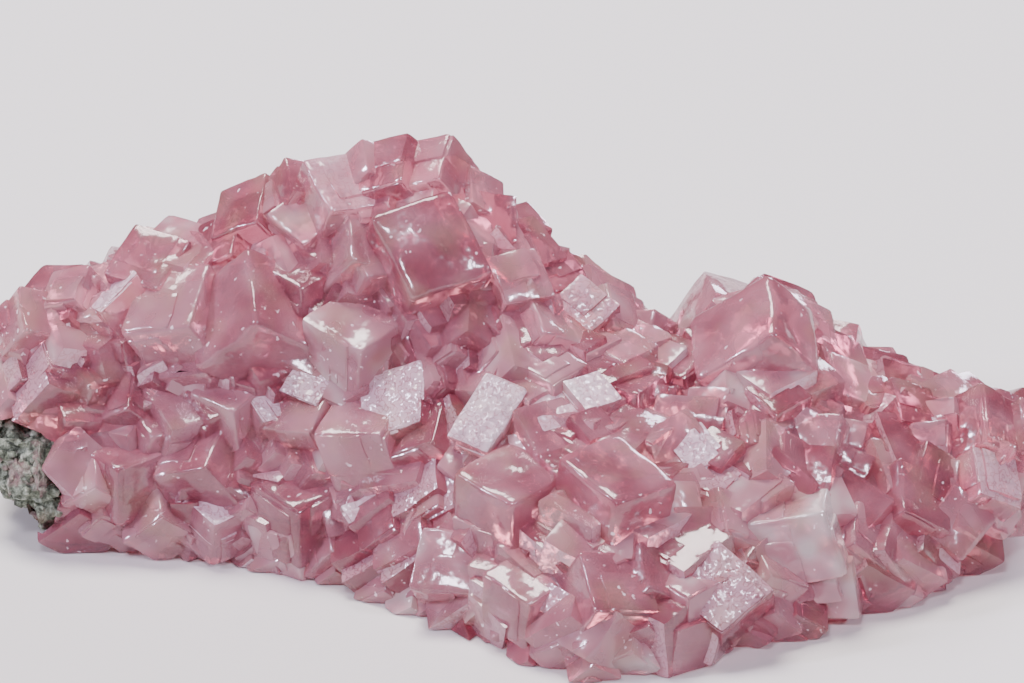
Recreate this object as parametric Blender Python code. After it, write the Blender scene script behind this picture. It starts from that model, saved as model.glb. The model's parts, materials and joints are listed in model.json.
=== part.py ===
"""Pink smithsonite on its host rock: one hand specimen, about 70 mm long.

Two solids: the granular host rock, cut flat underneath, and the crust of pink crystals that
grew on it. The crust is a mantle over the rock with rhombohedral crystals standing in it, all
joined. Lengths are in millimetres up to the point where a mesh is made, which is in metres.
The origin is on the flat underside of the rock, +Z is up, and the best side faces -Y.
"""

import math
import random

import bmesh
import bpy
from mathutils import Matrix, Vector
from mathutils.bvhtree import BVHTree

MM = 0.001

# Crystals are set out on a flat layout plane that faces the best side from a little above, and
# are then pushed back along their sight lines until they are seated in the mantle.
LAYOUT_TILT = math.radians(25.0)
LAYOUT_CENTRE = Vector((0.0, 0.0, 15.2))
LAYOUT_DISTANCE = 400.0
ACROSS = Vector((1.0, 0.0, 0.0))
UPWARD = Vector((0.0, math.sin(LAYOUT_TILT), math.cos(LAYOUT_TILT)))
AWAY = Vector((0.0, math.cos(LAYOUT_TILT), -math.sin(LAYOUT_TILT)))
EYE = LAYOUT_CENTRE - AWAY * LAYOUT_DISTANCE

# Each station is one upright section of the mantle, from left to right:
# x, front y, underside z, belly of the front face, crest y, crest z, back y.
STATIONS = [
    (-33.0, 2.5, 2.8, 0.0, 6.5, 11.0, 11.0),
    (-29.5, -0.2, 1.0, 0.6, 6.5, 14.0, 14.5),
    (-24.0, 0.6, 0.0, 0.8, 7.5, 16.7, 16.5),
    (-17.0, -0.6, 0.0, 1.2, 8.0, 18.8, 17.5),
    (-10.5, -2.8, 0.0, 0.4, 7.5, 22.8, 17.5),
    (-5.0, -7.0, 0.0, -0.6, 7.0, 24.3, 17.0),
    (0.0, -12.2, 0.0, 0.6, 6.0, 19.4, 16.5),
    (5.0, -15.8, 0.0, 2.2, 5.0, 15.4, 16.0),
    (10.5, -14.8, 0.0, 2.2, 4.5, 12.2, 15.5),
    (16.0, -11.2, 0.0, 1.6, 5.0, 15.4, 15.0),
    (21.0, -8.0, 0.0, 1.4, 5.5, 11.0, 13.5),
    (26.0, -4.8, 0.4, 1.0, 5.0, 9.0, 12.0),
    (30.5, -1.5, 2.0, 0.5, 4.5, 8.2, 10.0),
    (33.0, 1.5, 3.5, 0.0, 4.5, 7.0, 8.0),
]
UNDERCUT = 2.2            # how far the foot curls under at the front and back
FOOT_HEIGHT = 2.8         # height of the foremost bulge above the underside
POINTS_PER_SPAN = 3       # smoothing of a section between its seven control points
BASE_POINTS = 4           # points across the flat underside
SHOULDER = (0.7, 0.66)    # upper back point: share of the way from crest to back, and of the height
HAUNCH = 0.32             # lower back point: share of the height

# Where the crust leaves the rock bare.
CRUST_DEPTH = 3.2         # mantle over the rock where crystals cover it
ROCK_PROUD = 1.2          # how far bare rock stands out of the mantle surface
BARE_BACK = (4.0, 7.0)    # the crust thins out this far behind the crest
BARE_HEIGHT = (0.60, 0.80)  # and below these shares of the crest's height
BARE_FOOT_X = -25.0       # left of this the rock shows at the foot
BARE_FOOT_SLANT = 0.3     # its edge runs left by this much for each mm up
BARE_FOOT_TOP = 6.0       # and faster by the steep slant above this height
BARE_FOOT_STEEP = 0.3
BARE_FOOT_EDGE = 1.6      # width over which the crust thins out there
ROCK_LUMP = 0.6           # height of its lumps, up or down
ROCK_SEED = 7
MOST_INSET = 0.45         # the rock's inset, at most, as a share of the way to a section's middle
ROCK_REACH_LEFT = 1.01    # the rock ends just past the mantle at the broken left end
ROCK_REACH_RIGHT = 0.90   # and well inside it at the right end
FIT_GAP = 0.3             # kept between the two solids
FLOOR_GAP = 0.35          # the crystals stop this far above the resting plane
FLOOR_BLOCK = Vector((120.0, 80.0, 20.0))  # size of the block that cuts them there
LEVEL = 0.01              # heights closer than this count as the same
WELD = 0.002              # points closer than this become one
FLATTEN = 0.80            # a rhombohedron is a cube squashed along one body diagonal

# Crystals of the best side, by area. Each row is: across and up on the layout plane of the
# corner nearest the viewer, edge length or three lengths, and the bearings in degrees on that
# plane of the three edges that run back from the corner (0 is +across, 90 is up).
LEFT_END = [
    (-30.4, 0.7, 3.2, (98, 350, 225)),
    (-27.3, 2.6, 2.8, (72, 190, 310)),
    (-22.1, 3.2, 4.0, (161, 60, 290)),
    (-25.9, 1.9, 3.5, (42, 310, 150)),
    (-21.7, 2.1, 2.6, (140, 40, 270)),
    (-24.3, -0.1, 2.3, (164, 36, 280)),
    (-24.6, -8.0, 4.0, (20, 150, 268)),
    (-27.9, -5.0, 2.4, (110, 250, 0)),
    (-26.0, -9.0, 2.9, (95, 210, 330)),
    (-25.6, -10.9, 2.3, (100, 220, 340)),
    (-23.9, -11.6, 2.2, (80, 200, 320)),
    (-21.9, -10.9, 3.4, (100, 215, 330)),
    (-26.2, -3.0, 2.6, (130, 15, 245)),
    (-28.8, -1.6, 2.2, (110, 345, 230)),
    (-24.0, -4.2, 3.0, (85, 200, 325)),
    (-22.6, -6.0, 2.6, (120, 10, 250)),
]
LEFT_CREST = [
    (-17.6, 5.4, 3.4, (80, 200, 322)),
    (-16.0, 7.5, 3.7, (80, 200, 320)),
    (-14.7, 8.4, 2.8, (95, 215, 330)),
    (-13.0, 6.0, 3.2, (138, 42, 270)),
    (-11.3, 8.1, 4.2, (118, 10, 245)),
    (-9.9, 5.1, 3.8, (95, 345, 225)),
    (-7.0, 10.0, 3.6, (80, 195, 320)),
    (-4.6, 10.2, 3.4, (75, 190, 310)),
    (-9.0, 10.6, 2.6, (100, 220, 340)),
    (-2.5, 8.7, 2.8, (95, 215, 335)),
    (0.2, 6.4, 2.8, (15, 130, 255)),
    (-13.5, 9.4, 2.8, (110, 350, 235)),
    (-13.2, 3.4, 3.6, (152, 30, 270)),
    (-9.0, 4.0, 3.7, (114, 12, 245)),
    (-19.6, 4.6, 3.0, (165, 45, 285)),
]
LEFT_FACE = [
    (-16.0, 1.0, 5.8, (97, 215, 338)),
    (-20.2, 0.9, 4.8, (75, 185, 305)),
    (-17.4, -4.3, 3.5, (38, 160, 275)),
    (-18.9, -4.9, 2.8, (20, 130, 262)),
    (-12.2, -4.1, 2.7, (155, 60, 285)),
    (-15.4, -5.0, 2.7, (126, 17, 255)),
    (-12.6, -5.6, 3.6, (175, 65, 300)),
    (-8.3, -5.8, 4.4, (181, 62, 287)),
    (-16.4, -7.3, 2.4, (100, 225, 340)),
    (-19.1, -7.9, 4.2, (70, 190, 310)),
    (-13.4, -10.7, 4.2, (150, 28, 270)),
    (-13.9, -12.2, 3.4, (165, 40, 285)),
    (-18.6, -11.5, 3.2, (140, 25, 265)),
    (-16.6, -10.4, 2.4, (80, 200, 325)),
    (-16.3, -13.6, 1.8, (100, 215, 335)),
    (-18.0, -13.0, 2.4, (95, 210, 335)),
    (-14.6, -13.6, 2.8, (85, 205, 325)),
    (-11.2, -13.2, 3.0, (100, 220, 345)),
    (-9.5, -0.6, (4.6, 4.0, 4.5), (148, 34, 268)),
    (-9.3, -3.0, 2.6, (85, 205, 325)),
    (-12.4, -8.2, 2.4, (110, 235, 350)),
]
MIDDLE = [
    (-6.2, 2.6, (6.1, 5.5, 5.6), (114, 21, 247)),
    (-5.7, -5.0, 4.3, (91, 196, 322)),
    (-5.0, -6.4, 3.8, (75, 195, 315)),
    (-1.6, -7.0, (2.8, 4.8, 4.2), (154, 61, 290)),
    (0.0, -10.2, 5.0, (152, 28, 270)),
    (-1.2, -12.0, 3.2, (160, 35, 275)),
    (-0.4, 2.3, 3.4, (112, 14, 246)),
    (2.7, 3.1, 2.6, (125, 20, 250)),
    (4.4, 2.7, 2.6, (140, 35, 270)),
    (2.1, 0.6, 3.3, (115, 345, 230)),
    (4.5, 0.15, 3.3, (140, 45, 270)),
    (8.6, -0.3, (3.4, 2.4, 3.2), (178, 82, 332)),
    (6.4, 1.0, 3.3, (100, 215, 333)),
    (2.5, -2.7, 3.1, (150, 30, 270)),
    (7.8, -3.2, 3.0, (170, 30, 275)),
    (10.6, -2.3, 3.4, (160, 40, 280)),
    (6.2, -4.0, 1.9, (150, 25, 265)),
    (9.9, -4.9, (2.4, 2.2, 2.4), (172, 80, 310)),
    (8.8, -6.6, 3.0, (158, 38, 274)),
    (2.0, -5.6, 2.9, (120, 15, 250)),
    (4.7, -4.3, 2.6, (130, 20, 255)),
    (-0.9, -0.6, 2.2, (110, 340, 230)),
    (-3.6, -0.6, 2.8, (95, 215, 330)),
    (-4.2, -2.9, 2.6, (105, 350, 230)),
    (-5.3, 1.1, 1.6, (120, 10, 250)),
    (0.7, -0.4, 2.4, (140, 30, 265)),
    (7.0, -1.3, 2.9, (150, 25, 268)),
    (-4.4, -4.6, 2.0, (110, 0, 235)),
]
FRONT_LOBE = [
    (6.6, -10.2, (5.6, 4.6, 5.0), (141, 20, 263)),
    (10.8, -12.7, 2.5, (100, 3, 235)),
    (5.1, -12.9, 1.9, (150, 30, 270)),
    (7.6, -12.2, 2.0, (150, 30, 262)),
    (3.2, -12.3, 2.3, (150, 30, 265)),
    (-1.7, -15.9, (4.8, 4.0, 3.2), (172, 80, 300)),
    (1.0, -16.4, 3.8, (145, 30, 268)),
    (5.3, -16.9, 4.2, (105, 358, 235)),
    (13.1, -18.4, (4.8, 4.4, 3.2), (136, 43, 275)),
    (16.3, -17.0, 2.6, (85, 200, 320)),
    (17.9, -17.1, 2.6, (95, 215, 330)),
    (20.7, -17.2, (2.1, 1.7, 2.4), (185, 93, 320)),
    (10.8, -19.4, 2.6, (95, 215, 335)),
    (7.6, -19.4, 2.4, (85, 200, 320)),
    (-7.9, -15.5, 2.7, (80, 200, 325)),
    (-10.1, -11.4, (1.3, 2.4, 3.0), (113, 20, 245)),
    (-8.5, -9.6, 1.7, (88, 215, 325)),
    (-7.3, -11.6, 3.1, (100, 215, 335)),
    (-9.1, -12.9, 2.9, (85, 205, 320)),
    (-4.6, -10.2, 2.6, (95, 215, 335)),
    (13.4, -11.8, 3.4, (100, 220, 335)),
    (11.0, -16.2, 3.4, (148, 28, 268)),
    (8.6, -15.4, 3.2, (98, 214, 336)),
    (9.9, -13.9, 2.2, (150, 35, 270)),
    (-0.8, -18.2, 2.4, (100, 220, 340)),
    (3.0, -18.9, 2.4, (80, 205, 320)),
    (-3.8, -17.2, 2.2, (95, 210, 335)),
    (-6.3, -16.6, 2.2, (85, 205, 325)),
    (-2.6, -18.8, 1.8, (110, 225, 345)),
    (1.0, -20.0, 2.0, (80, 200, 325)),
    (5.2, -20.2, 2.2, (100, 215, 330)),
    (-11.0, -14.4, 2.0, (90, 215, 330)),
]
RIGHT_PEAK = [
    (16.5, 0.5, (5.2, 6.2, 4.6), (96, 211, 318)),
    (18.2, 0.6, 3.0, (100, 220, 335)),
    (15.0, -1.9, 3.2, (117, 15, 250)),
    (18.2, -0.8, 2.3, (85, 205, 330)),
    (20.6, -3.2, 3.2, (104, 340, 222)),
    (25.0, -2.6, (1.4, 1.8, 2.4), (95, 345, 215)),
    (24.4, -4.9, 3.3, (105, 345, 225)),
    (12.2, -0.8, 2.6, (130, 15, 255)),
    (22.3, -4.0, 2.6, (120, 0, 245)),
    (13.3, -5.4, (2.7, 2.6, 2.4), (176, 84, 320)),
    (11.3, -8.4, 2.7, (128, 35, 250)),
    (12.9, -7.9, 2.5, (150, 45, 280)),
    (14.1, -4.4, 1.7, (95, 215, 330)),
    (16.6, -4.6, 2.9, (140, 30, 262)),
    (15.2, -6.2, 2.3, (95, 215, 335)),
    (15.7, -10.0, 2.8, (150, 30, 268)),
]
RIGHT_END = [
    (29.7, -6.2, 4.3, (95, 210, 330)),
    (32.4, -6.6, 3.6, (100, 215, 340)),
    (30.3, -8.4, (1.7, 2.4, 3.2), (160, 66, 290)),
    (29.4, -9.5, 3.4, (100, 215, 340)),
    (25.4, -9.2, 3.4, (78, 200, 330)),
    (27.2, -7.9, (2.9, 3.1, 3.0), (185, 93, 330)),
    (20.0, -8.2, (3.6, 3.8, 3.0), (178, 84, 310)),
    (21.8, -6.6, (2.2, 1.7, 2.4), (168, 74, 300)),
    (22.0, -8.7, (2.5, 1.7, 2.4), (160, 66, 290)),
    (20.9, -10.4, 2.3, (145, 50, 270)),
    (17.0, -7.6, 2.5, (85, 205, 325)),
    (16.9, -9.0, 1.6, (120, 10, 245)),
    (19.5, -10.6, (4.9, 4.4, 4.2), (193, 285, 80)),
    (20.1, -14.2, (3.0, 2.2, 2.8), (190, 283, 75)),
    (16.2, -14.6, 3.1, (115, 338, 228)),
    (21.4, -12.6, 3.3, (82, 205, 318)),
    (22.6, -13.2, 2.4, (75, 195, 300)),
    (24.6, -10.6, 3.9, (95, 215, 335)),
    (28.9, -12.7, 2.7, (90, 210, 330)),
    (24.0, -15.2, 2.5, (100, 215, 335)),
    (26.5, -13.6, 2.2, (85, 200, 320)),
    (21.8, -15.6, 2.0, (95, 215, 330)),
    (23.4, -6.8, 2.4, (110, 350, 235)),
]
BEST_SIDE = LEFT_END + LEFT_CREST + LEFT_FACE + MIDDLE + FRONT_LOBE + RIGHT_PEAK + RIGHT_END
SEAT_SINK = 0.10          # a crystal's middle sits this share of its edge inside the mantle
LARGE_EDGE = 4.4          # a crystal with an edge this long or longer
LARGE_STAND = 0.05        # has its middle this share of its edge outside
SEAT_ROUNDS = 3           # corrections of its distance along the sight line
INLAND = Vector((0.2, 0.0, 9.2))  # a middle past the mantle's outline aims for this x share and z
INLAND_STEP = 0.03        # in steps of this share of the way
INLAND_STEPS = 40

# Open pockets between crystals: same layout as a crystal, but taken out.
POCKETS = [
    (-3.3, 1.0, (4.4, 1.7, 2.4), (178, 86, 300)),
    (-16.9, -6.6, (2.0, 1.1, 3.0), (160, 68, 290)),
]

# Crystals that cover the rest of the mantle: ends, crest, upper back and low front.
FILLER_SEED = 41
FILLER_TRIES = 2600
FILLER_EDGE = (2.4, 4.8)  # smallest and largest edge
FILLER_SPACING = 0.54     # least distance between middles, as a share of the two edges' sum
FILLER_CRUST = 0.6        # fillers grow where the crust has at least this share of its depth
FILLER_LOWEST = 2.0       # and no lower than this
FILLER_LEAN = 28.0        # largest lean of a filler's corner from the surface normal, degrees

PINK = (0.48, 0.19, 0.22, 1.0)
CRYSTAL_ROUGHNESS = 0.25
ROCK_GREY = (0.45, 0.46, 0.38, 1.0)
ROCK_ROUGHNESS = 0.85


# ---------------------------------------------------------------- the mantle and the rock

def smooth_path(points, per_span):
    """Catmull-Rom through the points, end points doubled."""
    padded = [points[0]] + points + [points[-1]]
    path = []
    for i in range(1, len(padded) - 2):
        before, start, end, after = (Vector(p) for p in padded[i - 1:i + 3])
        for k in range(per_span):
            t = k / per_span
            path.append(0.5 * (2 * start + (end - before) * t
                               + (2 * before - 5 * start + 4 * end - after) * t ** 2
                               + (3 * start - before - 3 * end + after) * t ** 3))
    path.append(Vector(points[-1]))
    return path


def section(station):
    """One closed ring of the mantle: up the front, over the crest, down the back, along the base."""
    x, front, under, belly, crest_y, crest_z, back = station
    bulge = Vector((front, under + FOOT_HEIGHT))
    crest = Vector((crest_y, crest_z))
    slope = (crest - bulge).normalized()
    outward = Vector((-slope.y, slope.x))
    rise = crest_z - under
    outline = [
        (front + UNDERCUT, under),
        bulge,
        (bulge + crest) / 2 + outward * belly,
        crest,
        (crest_y + (back - crest_y) * SHOULDER[0], under + rise * SHOULDER[1]),
        (back, under + rise * HAUNCH),
        (back - UNDERCUT, under),
    ]
    ring = smooth_path([Vector(p) for p in outline], POINTS_PER_SPAN)
    first, last = ring[0], ring[-1]
    for k in range(1, BASE_POINTS + 1):
        ring.append(last.lerp(first, k / (BASE_POINTS + 1)))
    return [Vector((x, p.x, p.y)) for p in ring]


def ramp(value, low, high):
    return min(1.0, max(0.0, (value - low) / (high - low)))


def crust_depth(point, crest):
    """Mantle thickness over the rock; negative where bare rock stands out."""
    back_bare = ramp(point.y - crest.y, *BARE_BACK) * (1.0 - ramp(point.z / crest.z, *BARE_HEIGHT))
    foot_limit = BARE_FOOT_X - BARE_FOOT_SLANT * point.z
    foot_limit -= BARE_FOOT_STEEP * max(0.0, point.z - BARE_FOOT_TOP)
    foot_bare = ramp(foot_limit - point.x, 0.0, BARE_FOOT_EDGE)
    bare = max(back_bare, foot_bare)
    return CRUST_DEPTH * (1.0 - bare) - ROCK_PROUD * bare


def rock_ring(ring, lumps, extra):
    """The rock's ring under a mantle ring, lumpy where bare; extra grows it outwards."""
    middle = sum(ring, Vector()) / len(ring)
    crest = max(ring, key=lambda p: p.z)
    lowest = min(p.z for p in ring)
    points = []
    for p, lump in zip(ring, lumps):
        inward = middle - p
        on_underside = p.z < lowest + LEVEL
        if on_underside:
            inward.z = 0.0
        depth = min(crust_depth(p, crest), inward.length * MOST_INSET)
        if depth < 0.0 and not on_underside:
            depth -= lump
        moved = p + inward.normalized() * (depth - extra)
        if on_underside:
            moved.z -= extra
        moved.x *= ROCK_REACH_RIGHT if p.x > 0.0 else ROCK_REACH_LEFT
        points.append(moved)
    return points


def loft(name, rings):
    """Closed solid through like-numbered rings, with a fan at each end."""
    bm = bmesh.new()
    rows = [[bm.verts.new(p * MM) for p in ring] for ring in rings]
    for near, far in zip(rows, rows[1:]):
        for k in range(len(near)):
            after = (k + 1) % len(near)
            bm.faces.new((near[k], near[after], far[after], far[k]))
    for row in (rows[0], rows[-1]):
        hub = bm.verts.new(sum((v.co for v in row), Vector()) / len(row))
        for k in range(len(row)):
            bm.faces.new((row[k], row[(k + 1) % len(row)], hub))
    bmesh.ops.triangulate(bm, faces=bm.faces)
    bmesh.ops.recalc_face_normals(bm, faces=bm.faces)
    return add_object(name, bm)


def add_object(name, bm):
    mesh = bpy.data.meshes.new(name)
    bm.to_mesh(mesh)
    bm.free()
    obj = bpy.data.objects.new(name, mesh)
    bpy.context.scene.collection.objects.link(obj)
    return obj


def mantle_rings():
    return [section(station) for station in STATIONS]


def rock_rings(rings, extra):
    """The host rock: the mantle's own rings, set in by the crust."""
    chance = random.Random(ROCK_SEED)
    result = []
    for i, ring in enumerate(rings):
        lumps = [chance.uniform(-ROCK_LUMP, ROCK_LUMP) for _ in ring]
        points = rock_ring(ring, lumps, extra)
        if i in (0, len(rings) - 1):
            for p in points:
                p.x += math.copysign(extra, p.x)
        result.append(points)
    return result


# ---------------------------------------------------------------- crystals

def edge_vectors(lengths, bearings):
    """Three mutually square edges that show the given bearings, then squashed to a rhombohedron."""
    if not isinstance(lengths, tuple):
        lengths = (lengths,) * 3
    angles = [math.radians(b) for b in bearings]
    between = {}
    for i, j in ((0, 1), (0, 2), (1, 2)):
        between[i, j] = between[j, i] = math.cos(angles[i] - angles[j])
    edges = []
    for i in range(3):
        j, k = (i + 1) % 3, (i + 2) % 3
        steepness = -between[i, j] * between[i, k] / between[j, k]
        depth = math.atan(math.sqrt(max(steepness, 0.0)))
        flat = ACROSS * math.cos(angles[i]) + UPWARD * math.sin(angles[i])
        edges.append(flat * math.cos(depth) + AWAY * math.sin(depth))
    return squash(edges, lengths)


def squash(edges, lengths):
    diagonal = sum(edges, Vector()).normalized()
    squashed = [e + diagonal * (e.dot(diagonal) * (FLATTEN - 1.0)) for e in edges]
    return [e.normalized() * length for e, length in zip(squashed, lengths)]


def sight_line(across, up):
    target = LAYOUT_CENTRE + ACROSS * across + UPWARD * up
    return (target - EYE).normalized()


def seat_on_mantle(corner_sight, edges, surface):
    """Distance along the sight line at which the crystal's middle is at its depth in the mantle."""
    half = sum(edges, Vector()) / 2
    longest = max(e.length for e in edges)
    sink = longest * (SEAT_SINK if longest < LARGE_EDGE else -LARGE_STAND)
    distance = LAYOUT_DISTANCE
    for _ in range(SEAT_ROUNDS):
        middle = EYE + corner_sight * distance + half
        aim = middle
        for _ in range(INLAND_STEPS):
            hit, _, _, reach = surface.ray_cast(EYE, (aim - EYE).normalized())
            if hit is not None:
                break
            aim = aim.lerp(Vector((INLAND.x * aim.x, INLAND.y, INLAND.z)), INLAND_STEP)
        distance += reach + sink - (middle - EYE).length
    return distance


def best_side_crystals(surface, rows):
    """(corner, edges) of every crystal or pocket in the rows."""
    placed = []
    for across, up, lengths, bearings in rows:
        edges = edge_vectors(lengths, bearings)
        sight = sight_line(across, up)
        corner = EYE + sight * seat_on_mantle(sight, edges, surface)
        placed.append((corner, edges))
    return placed


def random_place(chance, rings):
    """A random point of the mantle with its normal and the highest point of its section."""
    i = chance.randrange(len(rings) - 1)
    k = chance.randrange(len(rings[0]))
    after = (k + 1) % len(rings[0])
    along, across = chance.random(), chance.random()
    low = rings[i][k].lerp(rings[i][after], along)
    high = rings[i + 1][k].lerp(rings[i + 1][after], along)
    normal = (rings[i][after] - rings[i][k]).cross(rings[i + 1][k] - rings[i][k]).normalized()
    crest = max(rings[i], key=lambda p: p.z)
    return low.lerp(high, across), normal, crest


def corner_out_edges(axis, spin, edge):
    """Edges of a rhombohedron whose nearest corner points along the axis."""
    side = axis.orthogonal().normalized()
    edges = []
    for turn in range(3):
        about = Matrix.Rotation(spin + turn * math.tau / 3, 3, axis)
        edges.append(-axis * math.sqrt(1 / 3) + (about @ side) * math.sqrt(2 / 3))
    return squash(edges, (edge,) * 3)


def filler_crystals(rings, placed):
    """Scatter crystals, corner outwards, over what the best side leaves uncovered."""
    chance = random.Random(FILLER_SEED)
    middles = [(c + sum(e, Vector()) / 2, max(v.length for v in e)) for c, e in placed]
    fillers = []
    for _ in range(FILLER_TRIES):
        point, normal, crest = random_place(chance, rings)
        edge = chance.uniform(*FILLER_EDGE)
        lean = Vector((chance.gauss(0, 1), chance.gauss(0, 1), chance.gauss(0, 1))).normalized()
        spin = chance.uniform(0, math.tau)
        if crust_depth(point, crest) < CRUST_DEPTH * FILLER_CRUST or point.z < FILLER_LOWEST:
            continue
        if any((point - m).length < FILLER_SPACING * (edge + e) for m, e in middles):
            continue
        axis = (normal + lean * math.tan(math.radians(FILLER_LEAN)) * chance.random()).normalized()
        edges = corner_out_edges(axis, spin, edge)
        corner = point - sum(edges, Vector()) / 2 - axis * edge * SEAT_SINK
        fillers.append((corner, edges))
        middles.append((point, edge))
    return fillers


def crystal_block(name, corner, edges):
    """A unit cube sheared onto the three edges."""
    a, b, c = edges
    if a.cross(b).dot(c) < 0:
        a, b = b, a
    middle = corner + (a + b + c) / 2
    shape = Matrix((a, b, c)).transposed().to_4x4()
    placing = Matrix.Translation(middle) @ shape
    bm = bmesh.new()
    bmesh.ops.create_cube(bm, size=1.0)
    bmesh.ops.transform(bm, matrix=Matrix.Scale(MM, 4) @ placing, verts=bm.verts)
    bmesh.ops.triangulate(bm, faces=bm.faces)
    return add_object(name, bm)


# ---------------------------------------------------------------- joining and cutting

def hide_as_cutter(obj, collection):
    bpy.context.scene.collection.objects.unlink(obj)
    collection.objects.link(obj)
    obj.hide_render = True
    obj.display_type = 'WIRE'


def apply_boolean(obj, operation, cutter=None, collection=None):
    cut = obj.modifiers.new(operation.title(), 'BOOLEAN')
    cut.operation = operation
    cut.solver = 'EXACT'
    if collection is not None:
        cut.operand_type = 'COLLECTION'
        cut.collection = collection
    else:
        cut.object = cutter
    bpy.context.view_layer.update()
    graph = bpy.context.evaluated_depsgraph_get()
    result = bpy.data.meshes.new_from_object(obj.evaluated_get(graph))
    obj.modifiers.clear()
    obj.data = result


def shells_of(bm):
    unseen = set(bm.faces)
    shells = []
    while unseen:
        stack = [unseen.pop()]
        shell = list(stack)
        while stack:
            face = stack.pop()
            for edge in face.edges:
                for other in edge.link_faces:
                    if other in unseen:
                        unseen.remove(other)
                        stack.append(other)
                        shell.append(other)
        shells.append(shell)
    return shells


def keep_outer_shell(obj):
    """Fills any hollow closed in between crystals and drops loose crumbs."""
    bm = bmesh.new()
    bm.from_mesh(obj.data)
    bmesh.ops.remove_doubles(bm, verts=bm.verts, dist=WELD * MM)
    bmesh.ops.dissolve_degenerate(bm, edges=bm.edges, dist=WELD * MM)
    shells = sorted(shells_of(bm), key=len)
    crumbs = [face for shell in shells[:-1] for face in shell]
    bmesh.ops.delete(bm, geom=crumbs, context='FACES')
    bmesh.ops.triangulate(bm, faces=bm.faces)
    bm.to_mesh(obj.data)
    bm.free()


def floor_block():
    """A block that takes away the crystals' low ends, so that the rock alone rests on its cut."""
    bm = bmesh.new()
    bmesh.ops.create_cube(bm, size=1.0)
    stretch = Matrix.Diagonal((FLOOR_BLOCK * MM).to_4d())
    lower = Matrix.Translation(Vector((0.0, 0.0, (FLOOR_GAP - FLOOR_BLOCK.z / 2) * MM)))
    bmesh.ops.transform(bm, matrix=lower @ stretch, verts=bm.verts)
    return add_object("floor_block", bm)


def stone_material(name, colour, roughness):
    material = bpy.data.materials.new(name)
    material.use_nodes = True
    shader = material.node_tree.nodes["Principled BSDF"]
    shader.inputs["Base Color"].default_value = colour
    shader.inputs["Roughness"].default_value = roughness
    shader.inputs["Metallic"].default_value = 0.0
    material.diffuse_color = colour
    return material


def build():
    for old in list(bpy.data.objects):
        bpy.data.objects.remove(old, do_unlink=True)
    parts = bpy.data.collections.new("smithsonite_specimen")
    blocks = bpy.data.collections.new("crystal_blocks")
    pockets = bpy.data.collections.new("pocket_blocks")
    cutters = bpy.data.collections.new("cutters")
    for collection in (parts, blocks, pockets, cutters):
        bpy.context.scene.collection.children.link(collection)

    rings = mantle_rings()
    crust = loft("pink_crystal_crust", rings)
    surface = BVHTree.FromPolygons([v.co / MM for v in crust.data.vertices],
                                   [p.vertices for p in crust.data.polygons])
    placed = best_side_crystals(surface, BEST_SIDE)
    placed += filler_crystals(rings, placed)
    for number, (corner, edges) in enumerate(placed):
        hide_as_cutter(crystal_block("crystal_%03d" % number, corner, edges), blocks)
    for number, (corner, edges) in enumerate(best_side_crystals(surface, POCKETS)):
        hide_as_cutter(crystal_block("pocket_%d" % number, corner, edges), pockets)

    rock = loft("host_rock", rock_rings(rings, 0.0))
    bed = loft("rock_bed", rock_rings(rings, FIT_GAP))
    hide_as_cutter(bed, cutters)
    floor = floor_block()
    hide_as_cutter(floor, cutters)

    apply_boolean(crust, 'UNION', collection=blocks)
    apply_boolean(crust, 'DIFFERENCE', collection=pockets)
    apply_boolean(crust, 'DIFFERENCE', cutter=bed)
    apply_boolean(crust, 'DIFFERENCE', cutter=floor)
    keep_outer_shell(crust)

    crust.data.materials.clear()
    crust.data.materials.append(stone_material("pink smithsonite", PINK, CRYSTAL_ROUGHNESS))
    rock.data.materials.append(stone_material("host rock", ROCK_GREY, ROCK_ROUGHNESS))
    for obj in (crust, rock):
        bpy.context.scene.collection.objects.unlink(obj)
        parts.objects.link(obj)


build()
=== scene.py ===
import json
import math
import random

import bmesh
import bpy
import numpy as np
from mathutils import Matrix, Vector
from mathutils.bvhtree import BVHTree

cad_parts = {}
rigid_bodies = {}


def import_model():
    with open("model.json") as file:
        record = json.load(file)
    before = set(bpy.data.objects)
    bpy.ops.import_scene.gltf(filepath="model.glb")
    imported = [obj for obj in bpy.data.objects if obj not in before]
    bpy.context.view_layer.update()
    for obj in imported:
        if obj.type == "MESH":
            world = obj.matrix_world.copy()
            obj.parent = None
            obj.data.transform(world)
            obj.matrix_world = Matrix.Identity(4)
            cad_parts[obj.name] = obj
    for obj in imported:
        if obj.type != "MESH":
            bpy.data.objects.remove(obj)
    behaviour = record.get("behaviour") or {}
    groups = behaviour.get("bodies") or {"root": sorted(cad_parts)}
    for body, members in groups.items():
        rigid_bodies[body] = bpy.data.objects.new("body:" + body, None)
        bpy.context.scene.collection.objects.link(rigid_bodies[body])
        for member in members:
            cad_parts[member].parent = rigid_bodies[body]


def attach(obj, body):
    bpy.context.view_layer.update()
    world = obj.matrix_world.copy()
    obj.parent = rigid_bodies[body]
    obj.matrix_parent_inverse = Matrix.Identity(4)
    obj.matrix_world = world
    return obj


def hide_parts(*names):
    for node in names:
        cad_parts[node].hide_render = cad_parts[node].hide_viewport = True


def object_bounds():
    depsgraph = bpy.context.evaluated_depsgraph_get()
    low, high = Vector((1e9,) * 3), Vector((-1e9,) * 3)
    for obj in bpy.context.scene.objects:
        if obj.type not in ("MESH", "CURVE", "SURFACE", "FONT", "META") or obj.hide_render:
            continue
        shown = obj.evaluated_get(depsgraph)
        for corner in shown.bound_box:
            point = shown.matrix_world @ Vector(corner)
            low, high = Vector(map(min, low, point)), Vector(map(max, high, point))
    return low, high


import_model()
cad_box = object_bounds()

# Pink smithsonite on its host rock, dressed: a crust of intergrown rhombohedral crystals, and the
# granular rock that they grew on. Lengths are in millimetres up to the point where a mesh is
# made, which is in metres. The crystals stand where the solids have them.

MM = 0.001

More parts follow.
